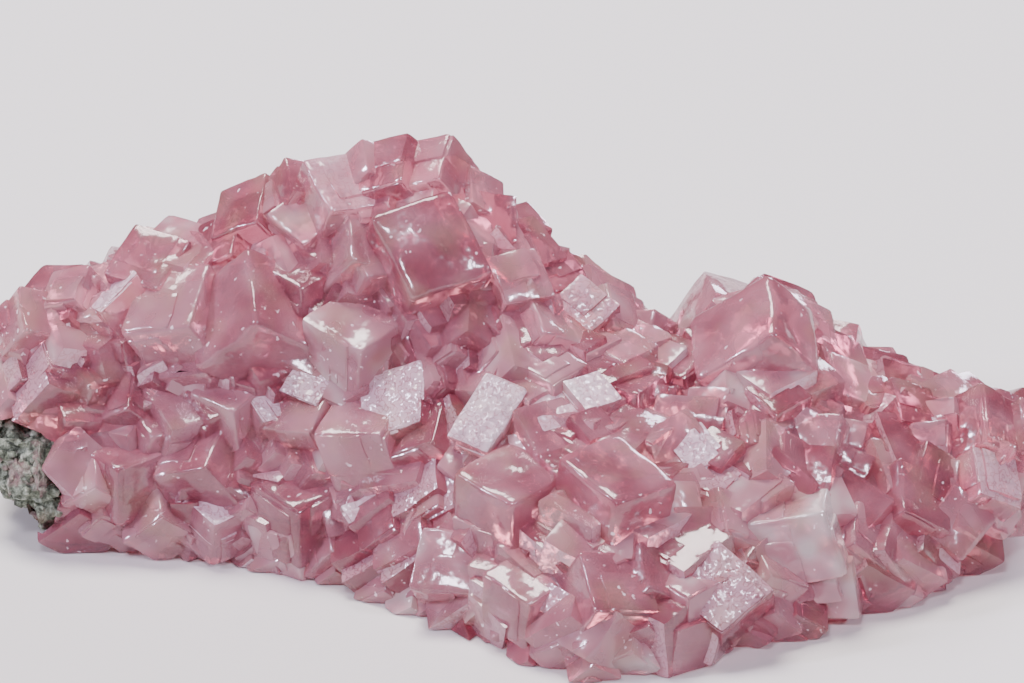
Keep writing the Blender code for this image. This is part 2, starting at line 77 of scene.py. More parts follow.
# Crystals are set out on a flat layout plane that faces the best side from a little above, and
# are then pushed back along their sight lines until they are seated in the mantle.
LAYOUT_TILT = math.radians(25.0)
LAYOUT_CENTRE = Vector((0.0, 0.0, 15.2))
LAYOUT_DISTANCE = 400.0
ACROSS = Vector((1.0, 0.0, 0.0))
UPWARD = Vector((0.0, math.sin(LAYOUT_TILT), math.cos(LAYOUT_TILT)))
AWAY = Vector((0.0, math.cos(LAYOUT_TILT), -math.sin(LAYOUT_TILT)))
EYE = LAYOUT_CENTRE - AWAY * LAYOUT_DISTANCE

# Each station is one upright section of the mantle, from left to right:
# x, front y, underside z, belly of the front face, crest y, crest z, back y.
STATIONS = [
    (-33.0, 2.5, 2.8, 0.0, 6.5, 11.0, 11.0),
    (-29.5, -0.2, 1.0, 0.6, 6.5, 14.0, 14.5),
    (-24.0, 0.6, 0.0, 0.8, 7.5, 16.7, 16.5),
    (-17.0, -0.6, 0.0, 1.2, 8.0, 18.8, 17.5),
    (-10.5, -2.8, 0.0, 0.4, 7.5, 22.8, 17.5),
    (-5.0, -7.0, 0.0, -0.6, 7.0, 24.3, 17.0),
    (0.0, -12.2, 0.0, 0.6, 6.0, 19.4, 16.5),
    (5.0, -15.8, 0.0, 2.2, 5.0, 15.4, 16.0),
    (10.5, -14.8, 0.0, 2.2, 4.5, 12.2, 15.5),
    (16.0, -11.2, 0.0, 1.6, 5.0, 15.4, 15.0),
    (21.0, -8.0, 0.0, 1.4, 5.5, 11.0, 13.5),
    (26.0, -4.8, 0.4, 1.0, 5.0, 9.0, 12.0),
    (30.5, -1.5, 2.0, 0.5, 4.5, 8.2, 10.0),
    (33.0, 1.5, 3.5, 0.0, 4.5, 7.0, 8.0),
]
UNDERCUT = 2.2            # how far the foot curls under at the front and back
FOOT_HEIGHT = 2.8         # height of the foremost bulge above the underside
POINTS_PER_SPAN = 3       # smoothing of a section between its seven control points
BASE_POINTS = 4           # points across the flat underside
SHOULDER = (0.7, 0.66)    # upper back point: share of the way from crest to back, and of the height
HAUNCH = 0.32             # lower back point: share of the height

# Where the crust leaves the rock bare.
CRUST_DEPTH = 3.2         # mantle over the rock where crystals cover it
ROCK_PROUD = 1.2          # how far bare rock stands out of the mantle surface
BARE_BACK = (4.0, 7.0)    # the crust thins out this far behind the crest
BARE_HEIGHT = (0.60, 0.80)  # and below these shares of the crest's height
BARE_FOOT_X = -25.0       # left of this the rock shows at the foot
BARE_FOOT_SLANT = 0.3     # its edge runs left by this much for each mm up
BARE_FOOT_TOP = 6.0       # and faster by the steep slant above this height
BARE_FOOT_STEEP = 0.3
BARE_FOOT_EDGE = 1.6      # width over which the crust thins out there
ROCK_LUMP = 0.6           # height of its lumps, up or down
ROCK_SEED = 7
MOST_INSET = 0.45         # the rock's inset, at most, as a share of the way to a section's middle
ROCK_REACH_LEFT = 1.01    # the rock ends just past the mantle at the broken left end
ROCK_REACH_RIGHT = 0.90   # and well inside it at the right end
LEVEL = 0.01              # heights closer than this count as the same
FLATTEN = 0.80            # a rhombohedron is a cube squashed along one body diagonal

# Crystals of the best side, by area. Each row is: across and up on the layout plane of the
# corner nearest the viewer, edge length or three lengths, and the bearings in degrees on that
# plane of the three edges that run back from the corner (0 is +across, 90 is up).
LEFT_END = [
    (-30.4, 0.7, 3.2, (98, 350, 225)),
    (-27.3, 2.6, 2.8, (72, 190, 310)),
    (-22.1, 3.2, 4.0, (161, 60, 290)),
    (-25.9, 1.9, 3.5, (42, 310, 150)),
    (-21.7, 2.1, 2.6, (140, 40, 270)),
    (-24.3, -0.1, 2.3, (164, 36, 280)),
    (-24.6, -8.0, 4.0, (20, 150, 268)),
    (-27.9, -5.0, 2.4, (110, 250, 0)),
    (-26.0, -9.0, 2.9, (95, 210, 330)),
    (-25.6, -10.9, 2.3, (100, 220, 340)),
    (-23.9, -11.6, 2.2, (80, 200, 320)),
    (-21.9, -10.9, 3.4, (100, 215, 330)),
    (-26.2, -3.0, 2.6, (130, 15, 245)),
    (-28.8, -1.6, 2.2, (110, 345, 230)),
    (-24.0, -4.2, 3.0, (85, 200, 325)),
    (-22.6, -6.0, 2.6, (120, 10, 250)),
]
LEFT_CREST = [
    (-17.6, 5.4, 3.4, (80, 200, 322)),
    (-16.0, 7.5, 3.7, (80, 200, 320)),
    (-14.7, 8.4, 2.8, (95, 215, 330)),
    (-13.0, 6.0, 3.2, (138, 42, 270)),
    (-11.3, 8.1, 4.2, (118, 10, 245)),
    (-9.9, 5.1, 3.8, (95, 345, 225)),
    (-7.0, 10.0, 3.6, (80, 195, 320)),
    (-4.6, 10.2, 3.4, (75, 190, 310)),
    (-9.0, 10.6, 2.6, (100, 220, 340)),
    (-2.5, 8.7, 2.8, (95, 215, 335)),
    (0.2, 6.4, 2.8, (15, 130, 255)),
    (-13.5, 9.4, 2.8, (110, 350, 235)),
    (-13.2, 3.4, 3.6, (152, 30, 270)),
    (-9.0, 4.0, 3.7, (114, 12, 245)),
    (-19.6, 4.6, 3.0, (165, 45, 285)),
]
LEFT_FACE = [
    (-16.0, 1.0, 5.8, (97, 215, 338)),
    (-20.2, 0.9, 4.8, (75, 185, 305)),
    (-17.4, -4.3, 3.5, (38, 160, 275)),
    (-18.9, -4.9, 2.8, (20, 130, 262)),
    (-12.2, -4.1, 2.7, (155, 60, 285)),
    (-15.4, -5.0, 2.7, (126, 17, 255)),
    (-12.6, -5.6, 3.6, (175, 65, 300)),
    (-8.3, -5.8, 4.4, (181, 62, 287)),
    (-16.4, -7.3, 2.4, (100, 225, 340)),
    (-19.1, -7.9, 4.2, (70, 190, 310)),
    (-13.4, -10.7, 4.2, (150, 28, 270)),
    (-13.9, -12.2, 3.4, (165, 40, 285)),
    (-18.6, -11.5, 3.2, (140, 25, 265)),
    (-16.6, -10.4, 2.4, (80, 200, 325)),
    (-16.3, -13.6, 1.8, (100, 215, 335)),
    (-18.0, -13.0, 2.4, (95, 210, 335)),
    (-14.6, -13.6, 2.8, (85, 205, 325)),
    (-11.2, -13.2, 3.0, (100, 220, 345)),
    (-9.5, -0.6, (4.6, 4.0, 4.5), (148, 34, 268)),
    (-9.3, -3.0, 2.6, (85, 205, 325)),
    (-12.4, -8.2, 2.4, (110, 235, 350)),
]
MIDDLE = [
    (-6.2, 2.6, (6.1, 5.5, 5.6), (114, 21, 247)),
    (-5.7, -5.0, 4.3, (91, 196, 322)),
    (-5.0, -6.4, 3.8, (75, 195, 315)),
    (-1.6, -7.0, (2.8, 4.8, 4.2), (154, 61, 290)),
    (0.0, -10.2, 5.0, (152, 28, 270)),
    (-1.2, -12.0, 3.2, (160, 35, 275)),
    (-0.4, 2.3, 3.4, (112, 14, 246)),
    (2.7, 3.1, 2.6, (125, 20, 250)),
    (4.4, 2.7, 2.6, (140, 35, 270)),
    (2.1, 0.6, 3.3, (115, 345, 230)),
    (4.5, 0.15, 3.3, (140, 45, 270)),
    (8.6, -0.3, (3.4, 2.4, 3.2), (178, 82, 332)),
    (6.4, 1.0, 3.3, (100, 215, 333)),
    (2.5, -2.7, 3.1, (150, 30, 270)),
    (7.8, -3.2, 3.0, (170, 30, 275)),
    (10.6, -2.3, 3.4, (160, 40, 280)),
    (6.2, -4.0, 1.9, (150, 25, 265)),
    (9.9, -4.9, (2.4, 2.2, 2.4), (172, 80, 310)),
    (8.8, -6.6, 3.0, (158, 38, 274)),
    (2.0, -5.6, 2.9, (120, 15, 250)),
    (4.7, -4.3, 2.6, (130, 20, 255)),
    (-0.9, -0.6, 2.2, (110, 340, 230)),
    (-3.6, -0.6, 2.8, (95, 215, 330)),
    (-4.2, -2.9, 2.6, (105, 350, 230)),
    (-5.3, 1.1, 1.6, (120, 10, 250)),
    (0.7, -0.4, 2.4, (140, 30, 265)),
    (7.0, -1.3, 2.9, (150, 25, 268)),
    (-4.4, -4.6, 2.0, (110, 0, 235)),
]
FRONT_LOBE = [
    (6.6, -10.2, (5.6, 4.6, 5.0), (141, 20, 263)),
    (10.8, -12.7, 2.5, (100, 3, 235)),
    (5.1, -12.9, 1.9, (150, 30, 270)),
    (7.6, -12.2, 2.0, (150, 30, 262)),
    (3.2, -12.3, 2.3, (150, 30, 265)),
    (-1.7, -15.9, (4.8, 4.0, 3.2), (172, 80, 300)),
    (1.0, -16.4, 3.8, (145, 30, 268)),
    (5.3, -16.9, 4.2, (105, 358, 235)),
    (13.1, -18.4, (4.8, 4.4, 3.2), (136, 43, 275)),
    (16.3, -17.0, 2.6, (85, 200, 320)),
    (17.9, -17.1, 2.6, (95, 215, 330)),
    (20.7, -17.2, (2.1, 1.7, 2.4), (185, 93, 320)),
    (10.8, -19.4, 2.6, (95, 215, 335)),
    (7.6, -19.4, 2.4, (85, 200, 320)),
    (-7.9, -15.5, 2.7, (80, 200, 325)),
    (-10.1, -11.4, (1.3, 2.4, 3.0), (113, 20, 245)),
    (-8.5, -9.6, 1.7, (88, 215, 325)),
    (-7.3, -11.6, 3.1, (100, 215, 335)),
    (-9.1, -12.9, 2.9, (85, 205, 320)),
    (-4.6, -10.2, 2.6, (95, 215, 335)),
    (13.4, -11.8, 3.4, (100, 220, 335)),
    (11.0, -16.2, 3.4, (148, 28, 268)),
    (8.6, -15.4, 3.2, (98, 214, 336)),
    (9.9, -13.9, 2.2, (150, 35, 270)),
    (-0.8, -18.2, 2.4, (100, 220, 340)),
    (3.0, -18.9, 2.4, (80, 205, 320)),
    (-3.8, -17.2, 2.2, (95, 210, 335)),
    (-6.3, -16.6, 2.2, (85, 205, 325)),
    (-2.6, -18.8, 1.8, (110, 225, 345)),
    (1.0, -20.0, 2.0, (80, 200, 325)),
    (5.2, -20.2, 2.2, (100, 215, 330)),
    (-11.0, -14.4, 2.0, (90, 215, 330)),
]
RIGHT_PEAK = [
    (16.5, 0.5, (5.2, 6.2, 4.6), (96, 211, 318)),
    (18.2, 0.6, 3.0, (100, 220, 335)),
    (15.0, -1.9, 3.2, (117, 15, 250)),
    (18.2, -0.8, 2.3, (85, 205, 330)),
    (20.6, -3.2, 3.2, (104, 340, 222)),
    (25.0, -2.6, (1.4, 1.8, 2.4), (95, 345, 215)),
    (24.4, -4.9, 3.3, (105, 345, 225)),
    (12.2, -0.8, 2.6, (130, 15, 255)),
    (22.3, -4.0, 2.6, (120, 0, 245)),
    (13.3, -5.4, (2.7, 2.6, 2.4), (176, 84, 320)),
    (11.3, -8.4, 2.7, (128, 35, 250)),
    (12.9, -7.9, 2.5, (150, 45, 280)),
    (14.1, -4.4, 1.7, (95, 215, 330)),
    (16.6, -4.6, 2.9, (140, 30, 262)),
    (15.2, -6.2, 2.3, (95, 215, 335)),
    (15.7, -10.0, 2.8, (150, 30, 268)),
]
RIGHT_END = [
    (29.7, -6.2, 4.3, (95, 210, 330)),
    (32.4, -6.6, 3.6, (100, 215, 340)),
    (30.3, -8.4, (1.7, 2.4, 3.2), (160, 66, 290)),
    (29.4, -9.5, 3.4, (100, 215, 340)),
    (25.4, -9.2, 3.4, (78, 200, 330)),
    (27.2, -7.9, (2.9, 3.1, 3.0), (185, 93, 330)),
    (20.0, -8.2, (3.6, 3.8, 3.0), (178, 84, 310)),
    (21.8, -6.6, (2.2, 1.7, 2.4), (168, 74, 300)),
    (22.0, -8.7, (2.5, 1.7, 2.4), (160, 66, 290)),
    (20.9, -10.4, 2.3, (145, 50, 270)),
    (17.0, -7.6, 2.5, (85, 205, 325)),
    (16.9, -9.0, 1.6, (120, 10, 245)),
    (19.5, -10.6, (4.9, 4.4, 4.2), (193, 285, 80)),
    (20.1, -14.2, (3.0, 2.2, 2.8), (190, 283, 75)),
    (16.2, -14.6, 3.1, (115, 338, 228)),
    (21.4, -12.6, 3.3, (82, 205, 318)),
    (22.6, -13.2, 2.4, (75, 195, 300)),
    (24.6, -10.6, 3.9, (95, 215, 335)),
    (28.9, -12.7, 2.7, (90, 210, 330)),
    (24.0, -15.2, 2.5, (100, 215, 335)),
    (26.5, -13.6, 2.2, (85, 200, 320)),
    (21.8, -15.6, 2.0, (95, 215, 330)),
    (23.4, -6.8, 2.4, (110, 350, 235)),
]
BEST_SIDE = LEFT_END + LEFT_CREST + LEFT_FACE + MIDDLE + FRONT_LOBE + RIGHT_PEAK + RIGHT_END
SEAT_SINK = 0.10          # a crystal's middle sits this share of its edge inside the mantle
LARGE_EDGE = 4.4          # a crystal with an edge this long or longer
LARGE_STAND = 0.05        # has its middle this share of its edge outside
SEAT_ROUNDS = 3           # corrections of its distance along the sight line
INLAND = Vector((0.2, 0.0, 9.2))  # a middle past the mantle's outline aims for this x share and z
INLAND_STEP = 0.03        # in steps of this share of the way
INLAND_STEPS = 40

# Crystals that cover the rest of the mantle: ends, crest, upper back and low front.
FILLER_SEED = 41
FILLER_TRIES = 2600
FILLER_EDGE = (2.4, 4.8)  # smallest and largest edge
FILLER_SPACING = 0.54     # least distance between middles, as a share of the two edges' sum
FILLER_CRUST = 0.6        # fillers grow where the crust has at least this share of its depth
FILLER_LOWEST = 2.0       # and no lower than this
FILLER_LEAN = 28.0        # largest lean of a filler's corner from the surface normal, degrees


# ---------------------------------------------------------------- the mantle and the rock

def smooth_path(points, per_span):
    """Catmull-Rom through the points, end points doubled."""
    padded = [points[0]] + points + [points[-1]]
    path = []
    for i in range(1, len(padded) - 2):
        before, start, end, after = (Vector(p) for p in padded[i - 1:i + 3])
        for k in range(per_span):
            t = k / per_span
            path.append(0.5 * (2 * start + (end - before) * t
                               + (2 * before - 5 * start + 4 * end - after) * t ** 2
                               + (3 * start - before - 3 * end + after) * t ** 3))
    path.append(Vector(points[-1]))
    return path


def section(station):
    """One closed ring of the mantle: up the front, over the crest, down the back, along the base."""
    x, front, under, belly, crest_y, crest_z, back = station
    bulge = Vector((front, under + FOOT_HEIGHT))
    crest = Vector((crest_y, crest_z))
    slope = (crest - bulge).normalized()
    outward = Vector((-slope.y, slope.x))
    rise = crest_z - under
    outline = [
        (front + UNDERCUT, under),
        bulge,
        (bulge + crest) / 2 + outward * belly,
        crest,
        (crest_y + (back - crest_y) * SHOULDER[0], under + rise * SHOULDER[1]),
        (back, under + rise * HAUNCH),
        (back - UNDERCUT, under),
    ]
    ring = smooth_path([Vector(p) for p in outline], POINTS_PER_SPAN)
    first, last = ring[0], ring[-1]
    for k in range(1, BASE_POINTS + 1):
        ring.append(last.lerp(first, k / (BASE_POINTS + 1)))
    return [Vector((x, p.x, p.y)) for p in ring]


def ramp(value, low, high):
    return min(1.0, max(0.0, (value - low) / (high - low)))


def crust_depth(point, crest):
    """Mantle thickness over the rock; negative where bare rock stands out."""
    back_bare = ramp(point.y - crest.y, *BARE_BACK) * (1.0 - ramp(point.z / crest.z, *BARE_HEIGHT))
    foot_limit = BARE_FOOT_X - BARE_FOOT_SLANT * point.z
    foot_limit -= BARE_FOOT_STEEP * max(0.0, point.z - BARE_FOOT_TOP)
    foot_bare = ramp(foot_limit - point.x, 0.0, BARE_FOOT_EDGE)
    bare = max(back_bare, foot_bare)
    return CRUST_DEPTH * (1.0 - bare) - ROCK_PROUD * bare


def rock_ring(ring, lumps, extra):
    """The rock's ring under a mantle ring, lumpy where bare; extra grows it outwards."""
    middle = sum(ring, Vector()) / len(ring)
    crest = max(ring, key=lambda p: p.z)
    lowest = min(p.z for p in ring)
    points = []
    for p, lump in zip(ring, lumps):
        inward = middle - p
        on_underside = p.z < lowest + LEVEL
        if on_underside:
            inward.z = 0.0
        depth = min(crust_depth(p, crest), inward.length * MOST_INSET)
        if depth < 0.0 and not on_underside:
            depth -= lump
        moved = p + inward.normalized() * (depth - extra)
        if on_underside:
            moved.z -= extra
        moved.x *= ROCK_REACH_RIGHT if p.x > 0.0 else ROCK_REACH_LEFT
        points.append(moved)
    return points


def loft(name, rings):
    """Closed solid through like-numbered rings, with a fan at each end."""
    bm = bmesh.new()
    rows = [[bm.verts.new(p * MM) for p in ring] for ring in rings]
    for near, far in zip(rows, rows[1:]):
        for k in range(len(near)):
            after = (k + 1) % len(near)
            bm.faces.new((near[k], near[after], far[after], far[k]))
    for row in (rows[0], rows[-1]):
        hub = bm.verts.new(sum((v.co for v in row), Vector()) / len(row))
        for k in range(len(row)):
            bm.faces.new((row[k], row[(k + 1) % len(row)], hub))
    bmesh.ops.triangulate(bm, faces=bm.faces)
    bmesh.ops.recalc_face_normals(bm, faces=bm.faces)
    return add_object(name, bm)


def add_object(name, bm):
    mesh = bpy.data.meshes.new(name)
    bm.to_mesh(mesh)
    bm.free()
    obj = bpy.data.objects.new(name, mesh)
    bpy.context.scene.collection.objects.link(obj)
    return obj


def mantle_rings():
    return [section(station) for station in STATIONS]


def rock_rings(rings, extra):
    """The host rock: the mantle's own rings, set in by the crust."""
    chance = random.Random(ROCK_SEED)
    result = []
    for i, ring in enumerate(rings):
        lumps = [chance.uniform(-ROCK_LUMP, ROCK_LUMP) for _ in ring]
        points = rock_ring(ring, lumps, extra)
        if i in (0, len(rings) - 1):
            for p in points:
                p.x += math.copysign(extra, p.x)
        result.append(points)
    return result


# ---------------------------------------------------------------- places of the crystals

def edge_vectors(lengths, bearings):
    """Three mutually square edges that show the given bearings, then squashed to a rhombohedron."""
    if not isinstance(lengths, tuple):
        lengths = (lengths,) * 3
    angles = [math.radians(b) for b in bearings]
    between = {}
    for i, j in ((0, 1), (0, 2), (1, 2)):
        between[i, j] = between[j, i] = math.cos(angles[i] - angles[j])
    edges = []
    for i in range(3):
        j, k = (i + 1) % 3, (i + 2) % 3
        steepness = -between[i, j] * between[i, k] / between[j, k]
        depth = math.atan(math.sqrt(max(steepness, 0.0)))
        flat = ACROSS * math.cos(angles[i]) + UPWARD * math.sin(angles[i])
        edges.append(flat * math.cos(depth) + AWAY * math.sin(depth))
    return squash(edges, lengths)


def squash(edges, lengths):
    diagonal = sum(edges, Vector()).normalized()
    squashed = [e + diagonal * (e.dot(diagonal) * (FLATTEN - 1.0)) for e in edges]
    return [e.normalized() * length for e, length in zip(squashed, lengths)]


def sight_line(across, up):
    target = LAYOUT_CENTRE + ACROSS * across + UPWARD * up
    return (target - EYE).normalized()


def seat_on_mantle(corner_sight, edges, surface):
    """Distance along the sight line at which the crystal's middle is at its depth in the mantle."""
    half = sum(edges, Vector()) / 2
    longest = max(e.length for e in edges)
    sink = longest * (SEAT_SINK if longest < LARGE_EDGE else -LARGE_STAND)
    distance = LAYOUT_DISTANCE
    for _ in range(SEAT_ROUNDS):
        middle = EYE + corner_sight * distance + half
        aim = middle
        for _ in range(INLAND_STEPS):
            hit, _, _, reach = surface.ray_cast(EYE, (aim - EYE).normalized())
            if hit is not None:
                break
            aim = aim.lerp(Vector((INLAND.x * aim.x, INLAND.y, INLAND.z)), INLAND_STEP)
        distance += reach + sink - (middle - EYE).length
    return distance


def best_side_crystals(surface, rows):
    """(corner, edges) of every crystal in the rows."""
    placed = []
    for across, up, lengths, bearings in rows:
        edges = edge_vectors(lengths, bearings)
        sight = sight_line(across, up)
        corner = EYE + sight * seat_on_mantle(sight, edges, surface)
        placed.append((corner, edges))
    return placed


def random_direction(chance):
    return Vector((chance.gauss(0, 1), chance.gauss(0, 1), chance.gauss(0, 1))).normalized()


def random_place(chance, rings):
    """A random point of the mantle with its normal and the highest point of its section."""
    i = chance.randrange(len(rings) - 1)
    k = chance.randrange(len(rings[0]))
    after = (k + 1) % len(rings[0])
    along, across = chance.random(), chance.random()
    low = rings[i][k].lerp(rings[i][after], along)
    high = rings[i + 1][k].lerp(rings[i + 1][after], along)
    normal = (rings[i][after] - rings[i][k]).cross(rings[i + 1][k] - rings[i][k]).normalized()
    crest = max(rings[i], key=lambda p: p.z)
    return low.lerp(high, across), normal, crest


def corner_out_edges(axis, spin, edge):
    """Edges of a rhombohedron whose nearest corner points along the axis."""
    side = axis.orthogonal().normalized()
    edges = []
    for turn in range(3):
        about = Matrix.Rotation(spin + turn * math.tau / 3, 3, axis)
        edges.append(-axis * math.sqrt(1 / 3) + (about @ side) * math.sqrt(2 / 3))
    return squash(edges, (edge,) * 3)


def filler_crystals(rings, placed):
    """Scatter crystals, corner outwards, over what the best side leaves uncovered."""
    chance = random.Random(FILLER_SEED)
    middles = [(c + sum(e, Vector()) / 2, max(v.length for v in e)) for c, e in placed]
    fillers = []
    for _ in range(FILLER_TRIES):
        point, normal, crest = random_place(chance, rings)
        edge = chance.uniform(*FILLER_EDGE)
        lean = random_direction(chance)
        spin = chance.uniform(0, math.tau)
        if crust_depth(point, crest) < CRUST_DEPTH * FILLER_CRUST or point.z < FILLER_LOWEST:
            continue
        if any((point - m).length < FILLER_SPACING * (edge + e) for m, e in middles):
            continue
        axis = (normal + lean * math.tan(math.radians(FILLER_LEAN)) * chance.random()).normalized()
        edges = corner_out_edges(axis, spin, edge)
        corner = point - sum(edges, Vector()) / 2 - axis * edge * SEAT_SINK
        fillers.append((corner, edges))
        middles.append((point, edge))
    return fillers


# ---------------------------------------------------------------- small helpers

def linear(hex_colour):
    """sRGB hex to a linear colour with alpha."""
    channels = [int(hex_colour[i:i + 2], 16) / 255 for i in (1, 3, 5)]
    return tuple(c / 12.92 if c <= 0.04045 else ((c + 0.055) / 1.055) ** 2.4 for c in channels) + (1.0,)


def add_node(tree, kind, inputs=None, **settings):
    """Adds one node. Inputs are plain values, output sockets, or nodes, meaning their first output."""
    node = tree.nodes.new(kind)
    for name, value in settings.items():
        setattr(node, name, value)
    for socket, value in (inputs or {}).items():
        if isinstance(value, bpy.types.Node):
            value = value.outputs[0]
        if isinstance(value, bpy.types.NodeSocket):
            tree.links.new(value, node.inputs[socket])
        else:
            node.inputs[socket].default_value = value
    return node


def waves(width):
    """The scale of a noise whose crests are about this many millimetres apart."""
    return 1.0 / (width * MM)


def new_material(name):
    material = bpy.data.materials.new(name)
    material.use_nodes = True
    return material, material.node_tree, material.node_tree.nodes["Principled BSDF"]


def new_geometry_tree(name, sizes):
    """A Geometry Nodes tree with named number inputs; returns it with its input and output nodes."""
    tree = bpy.data.node_groups.new(name, 'GeometryNodeTree')
    tree.interface.new_socket("Geometry", in_out='INPUT', socket_type='NodeSocketGeometry')
    for label, value in sizes.items():
        kind = 'NodeSocketInt' if isinstance(value, int) else 'NodeSocketFloat'
        tree.interface.new_socket(label, in_out='INPUT', socket_type=kind)
    tree.interface.new_socket("Geometry", in_out='OUTPUT', socket_type='NodeSocketGeometry')
    return tree, tree.nodes.new('NodeGroupInput'), tree.nodes.new('NodeGroupOutput')


def finish_tree(tree, geometry, result, material):
    """Every tree ends in real meshes with one material."""
    real = add_node(tree, 'GeometryNodeRealizeInstances', {"Geometry": geometry})
    dressed = add_node(tree, 'GeometryNodeSetMaterial', {"Geometry": real, "Material": material})
    tree.links.new(dressed.outputs["Geometry"], result.inputs["Geometry"])


def run_geometry_tree(obj, tree, sizes):
    """Puts the tree's result in the object, as a plain mesh."""
    modifier = obj.modifiers.new(tree.name, 'NODES')
    modifier.node_group = tree
    for item in tree.interface.items_tree:
        if item.in_out == 'INPUT' and item.name in sizes:
            modifier[item.identifier] = sizes[item.name]
    obj.update_tag()
    apply_modifiers(obj)


def cut_with(obj, cutter):
    """Takes the cutter's shape away from the object's mesh, and removes the cutter."""
    cut = obj.modifiers.new("cut", 'BOOLEAN')
    cut.operation = 'DIFFERENCE'
    cut.solver = 'MANIFOLD'
    cut.object = cutter
    apply_modifiers(obj)
    bpy.data.objects.remove(cutter, do_unlink=True)


def apply_modifiers(obj):
    bpy.context.view_layer.update()
    graph = bpy.context.evaluated_depsgraph_get()
    mesh = bpy.data.meshes.new_from_object(obj.evaluated_get(graph))
    mesh.name = obj.name
    obj.modifiers.clear()
    obj.data = mesh


def moved(tree, geometry, way, amount):
    """The geometry, with each point moved by this many times its own vector."""
    offset = add_node(tree, 'ShaderNodeVectorMath', {0: way, "Scale": amount}, operation='SCALE')
    return add_node(tree, 'GeometryNodeSetPosition', {"Geometry": geometry, "Offset": offset})


def mark(mesh, name, domain, values):
    """Keeps a number on each point or face of the mesh."""
    attribute = mesh.attributes.new(name, 'FLOAT', domain)
    attribute.data.foreach_set("value", np.asarray(values, dtype=np.float32))


def new_collection(name):
    collection = bpy.data.collections.new(name)
    bpy.context.scene.collection.children.link(collection)
    return collection


def remove_helpers(*collections):
    for collection in collections:
        for obj in list(collection.objects):
            bpy.data.objects.remove(obj, do_unlink=True)
        bpy.data.collections.remove(collection)


def shells_of(bm):
    """Lists of the faces that hang together by their edges."""
    waiting = set(bm.faces)
    shells = []
    while waiting:
        shell = [waiting.pop()]
        for face in shell:
            beside = {other for edge in face.edges for other in edge.link_faces} & waiting
            waiting -= beside
            shell += beside
        shells.append(shell)
    return shells


def keep_main_shell(mesh):
    """Deletes the loose specks of a few faces that a union leaves beside the main shell."""
    bm = bmesh.new()
    bm.from_mesh(mesh)
    shells = sorted(shells_of(bm), key=len)
    specks = [face for shell in shells[:-1] for face in shell]
    bmesh.ops.delete(bm, geom=specks, context='FACES')
    bm.to_mesh(mesh)
    bm.free()


def hold_in_box(mesh, box):
    """Pulls in any point that stands out of the solids' own box."""
    points = np.empty(len(mesh.vertices) * 3, dtype=np.float32)
    mesh.vertices.foreach_get("co", points)
    held = np.clip(points.reshape(-1, 3), np.array(box[0]), np.array(box[1]))
    mesh.vertices.foreach_set("co", held.astype(np.float32).ravel())
    mesh.update()


CREASE = 38.0             # degrees: a turn sharper than this stays a crease


def finish_mesh(mesh, material):
    """One shell of one material inside the solids' box, smooth except at its creases."""
    mesh.materials.clear()
    mesh.materials.append(material)
    keep_main_shell(mesh)
    hold_in_box(mesh, cad_box)
    for polygon in mesh.polygons:
        polygon.use_smooth = True
    mesh.set_sharp_from_angle(angle=math.radians(CREASE))


# ---------------------------------------------------------------- crystals as fine meshes

EDGE_SHARPNESS = 26.0     # power of the rounded cube: higher is squarer
OLD_SHARPNESS = 14.0      # the largest crystals have more rounded edges and bowed faces
OLD_FROM = 5.0            # mm
CELL_HERO = 0.40          # face grid of the best side's crystals
CELL_REST = 0.75          # and of the others
CELL_PLATE = 0.65         # and of growth plates
FEWEST_CELLS = 4          # across a face
EDGE_CROWDING = 1.9       # how much closer the grid lines lie towards a crystal's edges

# Frosted faces on the best side, whitened partly by their real frost and partly by a painted sheen that
# stands in for the lights' reflection: the crystal's place in the rows above, which of its edges the face
# looks away from, and how strong the frost is.
FROST_AND_SHEEN = {
    (-25.9, 1.9): (1, 1.0),
    (-21.7, 2.1): (2, 0.6),
    (-15.4, -5.0): (2, 0.9),
    (-12.2, -4.1): (2, 0.9),
    (-5.7, -5.0): (2, 0.8),
    (-1.6, -7.0): (2, 0.9),
    (2.0, -5.6): (2, 0.7),
    (4.5, 0.15): (2, 0.5),
    (4.7, -4.3): (2, 0.9),
    (11.3, -8.4): (2, 1.0),
    (16.6, -4.6): (1, 0.4),
    (-11.3, 8.1): (2, 0.3),
    (-28.8, -1.6): (1, 0.5),
    (-8.5, -9.6): (2, 0.9),
    (-10.1, -11.4): (2, 0.8),
    (-18.6, -11.5): (2, 0.9),
    (-16.3, -13.6): (0, 0.8),
    (29.4, -9.5): (1, 0.6),
    (26.5, -13.6): (1, 0.5),
    (13.1, -18.4): (2, 0.6),
}
TONES = {                 # from clear and deep pink, 0, to milky and pale, 1
    (19.5, -10.6): 0.86,
    (20.1, -14.2): 0.85,
    (-10.1, -11.4): 0.8,
    (-13.9, -12.2): 0.75,
    (-6.2, 2.6): 0.2,
    (-16.0, 1.0): 0.4,
    (0.0, -10.2): 0.3,
    (16.5, 0.5): 0.4,
}
CHANCE_TONE = (0.05, 0.75)  # of every other crystal
MANTLE_TONE = 0.3
CHANCE_FROST = 0.05       # share of the young crystals' faces that are frosted
FAINT_FROST = (0.2, 0.6)  # and how strongly
TONE_SEED = 5


